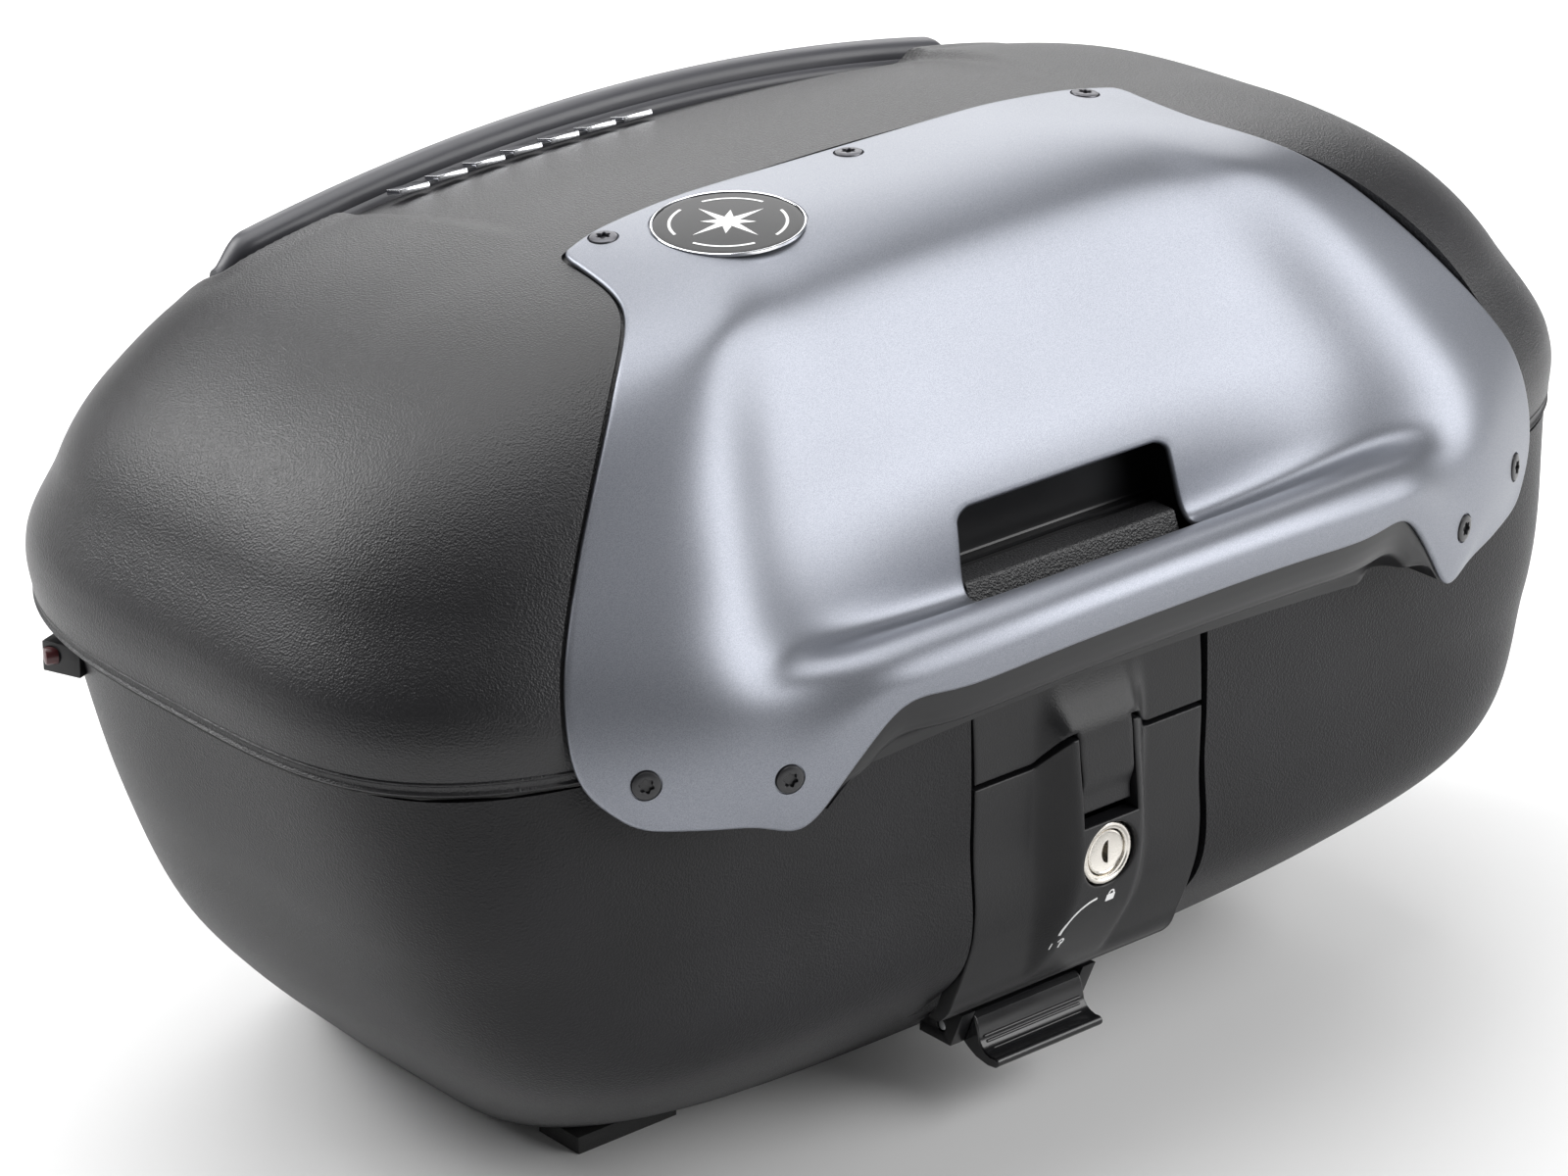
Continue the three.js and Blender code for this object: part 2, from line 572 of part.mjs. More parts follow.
// badge on the panel
const BADGE = [-73, 111];
function panelAt(x, y) {
  let u = x / 130;
  let t = (142 - y) / 260;
  for (let k = 0; k < 60; k++) {
    const p = panelPoint(u, t);
    u += (x - p[0]) / 140;
    t -= (y - p[1]) / 290;
  }
  return { u, t, p: panelPoint(u, t), n: panelNormal(u, t) };
}
function turnedDisc(r, low, high, where, hole = 0, n = 40) {
  const profile = [new THREE.Vector2(hole, low), new THREE.Vector2(r, low),
    new THREE.Vector2(r, high), new THREE.Vector2(hole, high)];
  if (hole > 0) profile.push(profile[0].clone());
  const g = new THREE.LatheGeometry(profile, n);
  const q = new THREE.Quaternion().setFromUnitVectors(new THREE.Vector3(0, 1, 0), where.n);
  g.applyQuaternion(q);
  g.translate(...where.p);
  return g;
}
const badgeSpot = panelAt(...BADGE);
add('badge_rim', turnedDisc(26.5, 0.6, 1.5, badgeSpot, 24), 'chrome');
add('badge_disc', turnedDisc(23.6, 0.6, 1.2, badgeSpot), 'gloss');

// seven bright bars in a row in front of the rail
for (let i = 0; i < 7; i++) {
  const x = -101 + i * 16.6;
  const y = 249;
  const z = Math.max(lidHeight(x - 6, y - 4), lidHeight(x + 6, y - 4), lidHeight(x, y)) + 0.3;
  const bar = new THREE.BoxGeometry(13, 8.4, 2);
  bar.rotateX(-Math.atan(0.0023 * (y - 128)));
  bar.translate(x, y, z + 1.3);
  add(`bright_bar_${i + 1}`, bar, 'chrome');
}

// screws of the panel
const SCREWS = [[-109, 132], [0, 133.5], [109, 132]];
const screwSpots = SCREWS.map(([x, y]) => panelAt(x, y));
function panelFront(x, z) {
  let u = x / 218;
  let t = 0.93;
  for (let k = 0; k < 80; k++) {
    const p = panelPoint(u, t);
    u += (x - p[0]) / 240;
    t -= (z - p[2]) / 330;
  }
  return { u, t, p: panelPoint(u, t), n: panelNormal(u, t) };
}
for (const [x, z] of [[-199, 86.4], [-154.7, 81.4], [154.7, 81.4], [199, 86.4]]) {
  screwSpots.push(panelFront(x, z));
}
screwSpots.forEach((spot, i) => {
  const profile = [[0, 0.4], [SCREW_R, 0.4], [SCREW_R, 0.8], [4.1, 1.3], [2.1, 1.4], [2.1, 0.8], [0, 0.8]]
    .map(([r, h]) => new THREE.Vector2(r, h));
  const g = new THREE.LatheGeometry(profile, 20);
  g.applyQuaternion(new THREE.Quaternion().setFromUnitVectors(new THREE.Vector3(0, 1, 0), spot.n));
  g.translate(...spot.p);
  add(`panel_screw_${i + 1}`, g, 'screw');
});

// lid hinge at the rear
for (const [side, s] of [['left', -1], ['right', 1]]) {
  const x0 = s < 0 ? -84 : 36;
  const [hy, hz] = HINGE_AXIS;
  const bore = solid(rodX(2.8, x0 - 5, x0 + 53, hy, hz));
  let arm = solid(prismX([[318.6, 48], [322, 48], [325, 70], [331, 78], [338, 80], [338, 86], [331, 82],
    [318.6, 79]], x0, x0 + 48));
  arm = arm.add(solid(rodX(6, x0, x0 + 48, hy, hz)));
  arm = arm.subtract(solid(box(x0 + 14, x0 + 34, 327, 350, 60, 100))).subtract(bore);
  add(`hinge_base_${side}`, surface(arm), 'dark');
  let leaf = solid(prismX([[331.6, 86], [337, 86], [335.6, 92], [335, 122], [331.8, 122]], x0 + 4, x0 + 44));
  leaf = leaf.subtract(solid(box(x0 - 1, x0 + 14.4, 320, 350, 70, 92)));
  leaf = leaf.subtract(solid(box(x0 + 33.6, x0 + 50, 320, 350, 70, 92)));
  leaf = leaf.add(solid(rodX(6, x0 + 14.4, x0 + 33.6, hy, hz))).subtract(bore);
  add(`hinge_lid_${side}`, surface(leaf), 'dark');
  add(`hinge_pin_${side}`, rodX(2.4, x0 - 1, x0 + 49, hy, hz), 'steel');
}

// lug and plug at each rear corner of the base
for (const [side, s] of [['left', -1], ['right', 1]]) {
  const a = s * 2.03;
  const p = tubPoint(a, 72);
  const lug = new THREE.BoxGeometry(15, 9, 11);
  lug.rotateZ(s * 1.2);
  lug.translate(p[0] + s * 3.2, p[1] + 1.2, 72);
  add(`corner_lug_${side}`, surface(solid(lug).subtract(tubOuter)), 'dark');
}

// underside
for (const [name, x, y] of [['foot_front_left', -128, 112], ['foot_front_right', 128, 112],
  ['foot_rear_left', -100, 246], ['foot_rear_right', 100, 246]]) {
  add(name, box(x - 22, x + 22, y - 11, y + 11, -106, -99.4), 'rubber');
}
const plate = solid(box(-95, 95, 118, 228, -104, -99.4))
  .subtract(solid(box(-60, 60, 132, 146, -110, -90)))
  .subtract(solid(box(-60, 60, 208, 220, -110, -90)))
  .subtract(solid(box(-24, 24, 160, 194, -110, -90)));
add('mounting_plate', surface(plate), 'dark');
const matRing = (z) => ringAt((a) => {
  const p = tubPoint(a, -95, 8);
  return [p[0], p[1], z];
});
add('floor_mat', ringBody([matRing(-95.6), matRing(-93)]), 'rubber');

export default topCase;
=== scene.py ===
"""Motorcycle top case: the detailed shells, panel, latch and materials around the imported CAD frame."""
import math

import bmesh
import bpy
import numpy as np
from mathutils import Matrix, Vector
from mathutils.geometry import delaunay_2d_cdt


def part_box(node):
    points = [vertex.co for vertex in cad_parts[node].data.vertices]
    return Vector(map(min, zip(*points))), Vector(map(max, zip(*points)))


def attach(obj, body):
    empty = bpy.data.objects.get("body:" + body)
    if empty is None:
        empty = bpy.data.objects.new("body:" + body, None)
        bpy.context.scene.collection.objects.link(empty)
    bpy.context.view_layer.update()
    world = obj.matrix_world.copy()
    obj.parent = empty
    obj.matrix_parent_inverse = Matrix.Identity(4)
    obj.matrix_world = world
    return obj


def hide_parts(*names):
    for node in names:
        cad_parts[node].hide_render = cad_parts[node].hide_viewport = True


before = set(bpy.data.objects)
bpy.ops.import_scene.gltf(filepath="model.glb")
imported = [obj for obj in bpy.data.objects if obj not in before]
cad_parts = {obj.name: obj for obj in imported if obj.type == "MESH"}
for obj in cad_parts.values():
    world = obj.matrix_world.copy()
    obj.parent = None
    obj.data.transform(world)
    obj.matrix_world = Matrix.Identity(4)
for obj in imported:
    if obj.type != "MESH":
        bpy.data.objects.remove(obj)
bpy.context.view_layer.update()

# ---- driving dimensions, in millimetres, with the lock's centre as the zero point ----
BEZEL_STANDS = 1.9                       # how far the lock's bezel stands in front of the zero point
LOCK_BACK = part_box("lock_bezel")[0].y * 1000 + BEZEL_STANDS
LOCK_UP = (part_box("lock_bezel")[0].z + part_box("lock_bezel")[1].z) * 500
ORIGIN = np.array([0.0, LOCK_BACK, LOCK_UP])
WALL = 3.0
LID_CENTRE_Y = 150.0
LID_RIM_Z = 86.0
LID_TOP_Z = 214.8
LID_RISE = 128.0
LID_HALF_WIDTH = 278.0
LID_FRONT = 144.0
LID_REAR = 173.0
BRIM_FRONT = 5.0
BRIM_SIDE = 5.0
PLAN_RIM, PLAN_TOP, PLAN_REAR = 4.0, 3.3, 3.0    # squareness of the lid's outline
WALL_FRONT, WALL_SIDE, WALL_REAR = 4.2, 5.0, 10.0   # how upright the lid's walls stay
DOME_FRONT, DOME_SIDE, DOME_REAR = 1.8, 2.5, 3.6   # how soon they turn into the crown
FALL_SIDE, FALL_REAR, FALL_FRONT = 0.00034, 0.00137, 0.0009
BASE_TOP_Z = 84.0
BASE_FLOOR_Z = -99.0
PANEL_T = 2.5
SEAT_GAP = 1.3                           # dark gap round the silver panel
LATCH_HALF = 52.6
LATCH_FOOT, LATCH_TOP = -57.4, 36.3        # lower edge and shoulders of the latch
NOTCH_HALF, NOTCH_Z = 12.4, 13.4          # notch for the hasp's tongue
POCKET_HALF = 54.6

TUB_Z = [-99, -60, -34, 20, 84]
TUB_HALF = [166, 206, 229, 256, 274]
TUB_FRONT = [86, 38, 13, 8, 9]
TUB_REAR = [284, 292, 298, 308, 318]
TUB_SHARP_FRONT = [3, 5.2, 6, 6, 4.8]
TUB_SHARP_REAR = [5, 4, 3.4, 3, 2.9]

# silver panel: control rows from the top edge to the arch, columns from the middle to the side
PANEL_U = [0, 0.3, 0.52, 0.64, 0.76, 0.88, 1]
PANEL_HALF = [126, 128, 132, 143, 160, 182, 198, 210, 217, 220, 218, 202]
PANEL_Y = [
    [142, 142, 142, 142, 141, 139, 133],
    [118, 118, 118, 117, 116, 114, 112],
    [94, 94, 94, 93, 92, 91, 93],
    [68, 68, 68, 67, 65, 71, 79],
    [54, 54, 55, 55, 58, 60, 64],
    [41, 41, 42, 41, 37, 42, 48],
    [28, 28, 28, 26, 20, 28, 37],
    [20, 20, 18, 12, 4, 15, 27],
    [17, 17, 12, 2, -5, 7, 21],
    [-21, -20, -15, -13, -11, 1, 16],
    [-38, -36, -29, -22, -14, -3, 12],
    [-35, -34, -29, -23, -13, -7, 3],
]
PANEL_Z = [
    [215, 215, 215, 214, 213, 212, 210.5],
    [216.5, 216.5, 216, 215, 213.5, 211.5, 208.5],
    [216, 216, 215.5, 214, 212, 209.5, 206.6],
    [209, 209, 207.5, 205, 205, 204, 203],
    [186, 186, 185, 186, 199, 197, 193.5],
    [163, 163, 162, 164, 177, 175, 171],
    [145, 145, 144, 146, 154, 153, 151.5],
    [118, 118, 120, 127, 135, 135, 134],
    [94, 95, 103, 116, 119, 120, 121],
    [128, 127, 123, 115, 104, 103, 103],
    [118, 116, 108, 96, 82, 82, 84],
    [104, 103, 97, 83, 65, 66, 71],
]
OPENING_U = 0.133
OPENING_T = (6.5 / 11, 8.35 / 11)


# ---- curves and surfaces ----
def smooth(v, a, b):
    t = np.clip((np.asarray(v, float) - a) / (b - a), 0, 1)
    return t * t * (3 - 2 * t)


def curve(xs, ys, x):
    """Cubic through given points."""
    xs, ys, x = np.asarray(xs, float), np.asarray(ys, float), np.asarray(x, float)
    h = np.diff(xs)
    d = np.diff(ys) / h
    m = np.concatenate([[d[0]], (d[:-1] * h[1:] + d[1:] * h[:-1]) / (h[1:] + h[:-1]), [d[-1]]])
    i = np.clip(np.searchsorted(xs, x, side="right") - 1, 0, len(xs) - 2)
    t = (x - xs[i]) / h[i]
    return ((2 * t**3 - 3 * t**2 + 1) * ys[i] + (t**3 - 2 * t**2 + t) * h[i] * m[i]
            + (3 * t**2 - 2 * t**3) * ys[i + 1] + (t**3 - t**2) * h[i] * m[i + 1])


def plan(angle, sharp_front, sharp_rear):
    """Point on a unit rounded rectangle; angle 0 is the front, a quarter turn is +X."""
    s, c = np.sin(angle), np.cos(angle)
    n = np.where(c > 0, sharp_front, sharp_rear)
    r = (np.abs(s) ** n + np.abs(c) ** n) ** (-1 / n)
    return r * s, -r * c


def crown_height(x, y):
    back = np.clip(y - 128, 0, None)
    fore = np.clip(98 - y, 0, None)
    return LID_TOP_Z - FALL_SIDE * x**2 - FALL_REAR * back**2 - FALL_FRONT * fore**2


def lid_shares(angle):
    """Front, side and rear weights of a direction, and the two roundness exponents there."""
    s, c = np.sin(angle), np.cos(angle)
    wf, wr, ws = np.clip(c, 0, None) ** 2, np.clip(-c, 0, None) ** 2, s**2
    upright = wf * WALL_FRONT + ws * WALL_SIDE + wr * WALL_REAR
    dome = wf * DOME_FRONT + ws * DOME_SIDE + wr * DOME_REAR
    return wf, ws + wr, upright, dome


def lid_point(angle, turn, inset=0.0):
    """Lid's outer surface: angle round the plan, turn 0 at the rim and a quarter turn at the crown."""
    front, rest, n, m = lid_shares(angle)
    brim = front * BRIM_FRONT + rest * BRIM_SIDE
    reach = np.clip(np.cos(turn), 0, None) ** (2 / n)
    up = np.clip(np.sin(turn), 0, 1) ** (2 / m)
    bump = brim * (0.55 + 0.45 * smooth(LID_RISE * up, 0, 26)) * (1 - smooth(LID_RISE * up, 30, 66))
    squareness = PLAN_RIM + (PLAN_TOP - PLAN_RIM) * smooth(up, 0, 1)
    ux, uy = plan(angle, squareness, PLAN_REAR + 0 * up)
    x = ((LID_HALF_WIDTH - inset) * reach + bump) * ux
    depth = np.where(uy < 0, LID_FRONT, LID_REAR)
    y = LID_CENTRE_Y + ((depth - inset) * reach + bump) * uy
    return np.stack([x, y, LID_RIM_Z + (crown_height(x, y) - inset - LID_RIM_Z) * up], -1)


def lid_height(x, y):
    """Height of the lid's outer surface above a plan position."""
    x, y = np.broadcast_arrays(np.asarray(x, float), np.asarray(y, float))
    wanted = np.arctan2(x, LID_CENTRE_Y - y)
    reach = np.hypot(x, y - LID_CENTRE_Y)
    angle = wanted.copy()
    lo, hi = np.zeros(x.shape), np.full(x.shape, math.pi / 2)
    for _ in range(30):
        mid = (lo + hi) / 2
        for _ in range(14):
            edge = lid_point(angle, mid)
            off = wanted - np.arctan2(edge[..., 0], LID_CENTRE_Y - edge[..., 1])
            angle = angle + 0.6 * np.arctan2(np.sin(off), np.cos(off))
        inside = reach < np.hypot(edge[..., 0], edge[..., 1] - LID_CENTRE_Y)
        lo, hi = np.where(inside, mid, lo), np.where(inside, hi, mid)
    return edge[..., 2]


def tub_point(angle, z, inset=0.0):
    half = curve(TUB_Z, TUB_HALF, z) - inset
    front = curve(TUB_Z, TUB_FRONT, z) + inset
    rear = curve(TUB_Z, TUB_REAR, z) - inset
    ux, uy = plan(angle, curve(TUB_Z, TUB_SHARP_FRONT, z), curve(TUB_Z, TUB_SHARP_REAR, z))
    y = LID_CENTRE_Y + np.where(uy < 0, LID_CENTRE_Y - front, rear - LID_CENTRE_Y) * uy
    return np.stack([half * ux, y, z + 0 * ux], -1)


def spline_weights(t, n):
    f = np.asarray(t, float) * (n - 1)
    i = np.clip(np.floor(f).astype(int), 0, n - 2)
    r = f - i
    return i, [(1 - r) ** 3 / 6, (3 * r**3 - 6 * r**2 + 4) / 6,
               (-3 * r**3 + 3 * r**2 + 3 * r + 1) / 6, r**3 / 6]


def net_value(net, u, t, sign=1):
    net = np.asarray(net, float)
    rows, cols = net.shape
    wide = np.hstack([sign * net[:, 1:2], net, 2 * net[:, -1:] - net[:, -2:-1]])
    wide = np.vstack([2 * wide[:1] - wide[1:2], wide, 2 * wide[-1:] - wide[-2:-1]])
    j, wj = spline_weights(np.abs(u), cols)
    i, wi = spline_weights(t, rows)
    return sum(wi[a] * wj[b] * wide[i + a, j + b] for a in range(4) for b in range(4))


PANEL_X = np.outer(PANEL_HALF, PANEL_U)


def panel_point(u, t):
    u, t = np.asarray(u, float), np.asarray(t, float)
    x = net_value(PANEL_X, u, t, -1) * np.where(u < 0, -1, 1)
    corner = 7.5 * np.exp(-((np.abs(u) - 0.4) / 0.09) ** 2) - 9 * np.exp(-((np.abs(u) - 0.625) / 0.085) ** 2)
    z = net_value(PANEL_Z, u, t) + corner * smooth(t, 0.8, 1)
    return np.stack([x, net_value(PANEL_Y, u, t), z], -1)


def unit(v):
    return v / np.maximum(1e-12, np.linalg.norm(v, axis=-1, keepdims=True))


def panel_normal(u, t):
    e = 0.002
    across = panel_point(u + e, t) - panel_point(u - e, t)
    down = panel_point(u, t + e) - panel_point(u, t - e)
    return unit(np.cross(down, across))


# ---- mesh building ----
def row_frame(points):
    return (np.asarray(points, float) + ORIGIN) / 1000


def grid_faces(rows, cols, wrap=True, start=0):
    """Quads over rows of equal length; each row closes on itself when wrap is set."""
    i, j = np.meshgrid(np.arange(rows - 1), np.arange(cols if wrap else cols - 1), indexing="ij")
    k = (j + 1) % cols
    quads = np.stack([i * cols + j, i * cols + k, (i + 1) * cols + k, (i + 1) * cols + j], -1) + start
    return quads.reshape(-1, 4).tolist()


def raw_object(name, points, faces):
    mesh = bpy.data.meshes.new(name)
    mesh.from_pydata(row_frame(points).tolist(), [], faces)
    bm = bmesh.new()
    bm.from_mesh(mesh)
    bmesh.ops.recalc_face_normals(bm, faces=bm.faces)
    bm.to_mesh(mesh)
    bm.free()
    mesh.update()
    obj = bpy.data.objects.new(name, mesh)
    bpy.context.scene.collection.objects.link(obj)
    return obj


def weld(obj, distance, outwards=False):
    """Joins points that lie on each other, and turns the faces outwards if asked."""
    bm = bmesh.new()
    bm.from_mesh(obj.data)
    bmesh.ops.remove_doubles(bm, verts=bm.verts, dist=distance)
    if outwards:
        bmesh.ops.recalc_face_normals(bm, faces=bm.faces)
    bm.to_mesh(obj.data)
    bm.free()


def cut_away(obj, tool):
    """Takes the tool's volume out of a closed piece."""
    cut = obj.modifiers.new("cut", "BOOLEAN")
    cut.operation = "DIFFERENCE"
    cut.solver = "EXACT"
    cut.object = tool
    graph = bpy.context.evaluated_depsgraph_get()
    mesh = bpy.data.meshes.new_from_object(obj.evaluated_get(graph))
    obj.modifiers.clear()
    obj.data = mesh
    bpy.data.objects.remove(tool)
    return obj


def dress(obj, body, look, stands_for=(), sharp=35, back=None):
    """Smooth shading, material, body and the CAD nodes that the piece stands for."""
    mesh = obj.data
    mesh.shade_smooth()
    mesh.set_sharp_from_angle(angle=math.radians(sharp))
    if back is None:
        mesh.materials.clear()
        mesh.materials.append(look)
    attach(obj, body)
    if stands_for:
        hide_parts(*stands_for)
    return obj


def piece(name, points, faces, body, look, stands_for=(), sharp=35):
    return dress(raw_object(name, points, faces), body, look, stands_for, sharp)


def revolved(name, profile, centre, axis, body, look, stands_for=(), steps=96, sharp=35, ring=False):
    """Turned piece: radius and height pairs, in millimetres, about an axis through a design point."""
    turn = np.linspace(0, 2 * math.pi, steps, endpoint=False)
    axis = Vector(axis).normalized()
    side = np.array(axis.orthogonal().normalized())
    axis = np.array(axis)
    other = np.cross(axis, side)
    loops = [centre + r * (np.outer(np.cos(turn), side) + np.outer(np.sin(turn), other)) + h * axis
             for r, h in profile]
    mesh_points = np.concatenate(loops)
    faces = grid_faces(len(profile), steps)
    ends = []
    last = (len(profile) - 1) * steps
    if ring:
        ends = [[last + j, last + (j + 1) % steps, (j + 1) % steps, j] for j in range(steps)]
    else:
        ends = [[k * steps + j for j in range(steps)] for k in (0, len(profile) - 1) if profile[k][0] > 1e-6]
    obj = raw_object(name, mesh_points, faces + ends)
    bm = bmesh.new()
    bm.from_mesh(obj.data)
    bmesh.ops.remove_doubles(bm, verts=bm.verts, dist=1e-7)
    bmesh.ops.recalc_face_normals(bm, faces=bm.faces)
    bm.to_mesh(obj.data)
    bm.free()
    return dress(obj, body, look, stands_for, sharp)


def block(x0, x1, y0, y1, z0, z1):
    points = [[x, y, z] for x in (x0, x1) for y in (y0, y1) for z in (z0, z1)]
    faces = [[0, 1, 3, 2], [4, 6, 7, 5], [0, 4, 5, 1], [2, 3, 7, 6], [0, 2, 6, 4], [1, 5, 7, 3]]
    return points, faces


def round_edges(obj, width, segments=3, angle=30):
    """Rounded edges as a modifier; the mesh below stays as it is."""
    weld = obj.modifiers.new("weld", "WELD")
    weld.merge_threshold = 1e-6
    bevel = obj.modifiers.new("round", "BEVEL")
    bevel.width = width / 1000
    bevel.segments = segments
    bevel.limit_method = "ANGLE"
    bevel.angle_limit = math.radians(angle)
    bevel.harden_normals = True
    return obj


# ---- materials ----
def new_look(name, colour, roughness, metallic=0.0, coat=0.0, specular=0.5):
    look = bpy.data.materials.new(name)
    look.use_nodes = True
    tree = look.node_tree
    shader = tree.nodes["Principled BSDF"]
    shader.inputs["Base Color"].default_value = (*colour, 1)
    shader.inputs["Roughness"].default_value = roughness
    shader.inputs["Metallic"].default_value = metallic
    shader.inputs["Coat Weight"].default_value = coat
    shader.inputs["Coat Roughness"].default_value = 0.15
    shader.inputs["Specular IOR Level"].default_value = specular
    where = tree.nodes.new("ShaderNodeTexCoord")
    return look, tree, shader, where.outputs["Object"]


def noise(tree, where, size, detail=2.0, distortion=0.0):
    """Noise whose features are about size millimetres wide."""
    node = tree.nodes.new("ShaderNodeTexNoise")
    tree.links.new(where, node.inputs["Vector"])
    node.inputs["Scale"].default_value = 1000 / size
    node.inputs["Detail"].default_value = detail
    node.inputs["Distortion"].default_value = distortion
    return node.outputs["Fac"]


def pebbles(tree, where, size):
    """Rounded cells about size millimetres wide, as in moulded grain."""
    node = tree.nodes.new("ShaderNodeTexVoronoi")
    node.feature = "SMOOTH_F1"
    tree.links.new(where, node.inputs["Vector"])
    node.inputs["Scale"].default_value = 1000 / size
    node.inputs["Smoothness"].default_value = 0.6
    return node.outputs["Distance"]


def ramp(tree, value, low, high, a=0.0, b=1.0):
    node = tree.nodes.new("ShaderNodeMapRange")
    tree.links.new(value, node.inputs["Value"])
    node.inputs["From Min"].default_value = low
    node.inputs["From Max"].default_value = high
    node.inputs["To Min"].default_value = a
    node.inputs["To Max"].default_value = b
    return node.outputs["Result"]


def mix_colour(tree, factor, a, b):
    node = tree.nodes.new("ShaderNodeMix")
    node.data_type = "RGBA"
    tree.links.new(factor, node.inputs["Factor"])
    node.inputs["A"].default_value = (*a, 1)
    node.inputs["B"].default_value = (*b, 1)
    return node.outputs["Result"]


def add_bump(tree, shader, height, depth, strength=1.0, under=None):
    """Bump of the given depth in millimetres."""
    node = tree.nodes.new("ShaderNodeBump")
    node.inputs["Distance"].default_value = depth / 1000
    node.inputs["Strength"].default_value = strength
    tree.links.new(height, node.inputs["Height"])
    if under is not None:
        tree.links.new(under, node.inputs["Normal"])
    tree.links.new(node.outputs["Normal"], shader.inputs["Normal"])
    return node.outputs["Normal"]


def grained_plastic(name, colour, roughness, grain, depth, vary=0.25, specular=0.5):
    """Moulded plastic with a pebbled grain, slight mottling and uneven gloss."""
    look, tree, shader, where = new_look(name, colour, roughness, specular=specular)
    cells = pebbles(tree, where, grain)
    fine = noise(tree, where, grain * 0.55, 2)
    joined = tree.nodes.new("ShaderNodeMath")
    joined.operation = "MULTIPLY_ADD"
    tree.links.new(fine, joined.inputs[0])
    joined.inputs[1].default_value = 0.7
    tree.links.new(cells, joined.inputs[2])
    add_bump(tree, shader, joined.outputs["Value"], depth)
    cloudy = noise(tree, where, 70, 3)
    dark = tuple(v * (1 - vary) for v in colour)
    light = tuple(v * (1 + vary) for v in colour)
    tree.links.new(mix_colour(tree, ramp(tree, cloudy, 0.35, 0.65), dark, light), shader.inputs["Base Color"])
    tree.links.new(ramp(tree, fine, 0.3, 0.7, roughness - 0.06, roughness + 0.06), shader.inputs["Roughness"])
    return look


def satin_plastic(name, colour, roughness, grain=0.5, depth=0.015, specular=0.5):
    look, tree, shader, where = new_look(name, colour, roughness, specular=specular)
    fine = noise(tree, where, grain, 2)
    add_bump(tree, shader, fine, depth)
    cloudy = noise(tree, where, 40, 3)
    uneven = ramp(tree, cloudy, 0.3, 0.7, roughness - 0.05, roughness + 0.05)
    tree.links.new(uneven, shader.inputs["Roughness"])
    return look


def silver_paint(name):
    """Satin metallic paint: fine flakes, a slight orange peel and a thin clear coat."""
    look, tree, shader, where = new_look(name, (0.3, 0.315, 0.35), 0.42, 0.85, 0.2)
    shader.inputs["Coat Roughness"].default_value = 0.3
    flakes = noise(tree, where, 0.35, 1)
    cloudy = noise(tree, where, 90, 2)
    tint = mix_colour(tree, ramp(tree, flakes, 0.35, 0.65), (0.19, 0.2, 0.232), (0.25, 0.262, 0.292))
    tree.links.new(tint, shader.inputs["Base Color"])
    tree.links.new(ramp(tree, cloudy, 0.3, 0.7, 0.41, 0.45), shader.inputs["Roughness"])
    add_bump(tree, shader, flakes, 0.006)
    return look


def metal(name, colour, roughness, scratch=6.0):
    """Plated metal with faint brushing."""
    look, tree, shader, where = new_look(name, colour, roughness, 1.0)
    stretch = tree.nodes.new("ShaderNodeMapping")
    stretch.inputs["Scale"].default_value = (1, 1, 14)
    tree.links.new(where, stretch.inputs["Vector"])
    lines = noise(tree, stretch.outputs["Vector"], scratch, 3)
    tree.links.new(ramp(tree, lines, 0.3, 0.7, roughness * 0.8, roughness * 1.25), shader.inputs["Roughness"])
    add_bump(tree, shader, lines, 0.004)
    return look


LOOKS = {
    "shell": grained_plastic("shell_black_grain", (0.008, 0.0078, 0.0095), 0.4, 0.75, 0.17),
    "tub": grained_plastic("tub_black_grain", (0.0075, 0.0074, 0.0088), 0.43, 0.75, 0.19, 0.25, 0.27),
    "silver": silver_paint("panel_silver_paint"),
    "satin": satin_plastic("satin_black", (0.008, 0.008, 0.009), 0.33, 0.5, 0.015, 0.4),
    "latch": grained_plastic("latch_black", (0.008, 0.008, 0.009), 0.36, 0.7, 0.05, 0.1, 0.32),
    "rail": satin_plastic("rail_grey", (0.05, 0.05, 0.058), 0.4, 1.2, 0.01),
    "gloss": satin_plastic("gloss_black", (0.012, 0.012, 0.013), 0.16, 2.0, 0.004),
    "strip": grained_plastic("grip_grain", (0.032, 0.032, 0.034), 0.36, 0.8, 0.3, 0.1),
    "rubber": grained_plastic("rubber_black", (0.02, 0.02, 0.02), 0.75, 0.9, 0.06),
    "badge": satin_plastic("badge_black", (0.008, 0.008, 0.009), 0.2, 2.0, 0.002, 0.15),
    "nickel": metal("satin_nickel", (0.7, 0.67, 0.62), 0.24),
    "chrome": metal("bright_chrome", (0.86, 0.87, 0.9), 0.1),
    "steel": metal("plain_steel", (0.5, 0.51, 0.52), 0.35),
    "screw": satin_plastic("black_screw", (0.016, 0.016, 0.018), 0.3, 0.8, 0.01),
    "top_screw": metal("grey_screw", (0.11, 0.11, 0.12), 0.38),
    "plug": satin_plastic("dark_red", (0.06, 0.008, 0.01), 0.35, 0.8, 0.01),
    "print": satin_plastic("white_print", (0.78, 0.78, 0.78), 0.5, 0.6, 0.004),
}

# ---- silver panel ----
DOMAIN_U = 215.0                         # millimetres of panel per unit of u
DOMAIN_T = 290.0


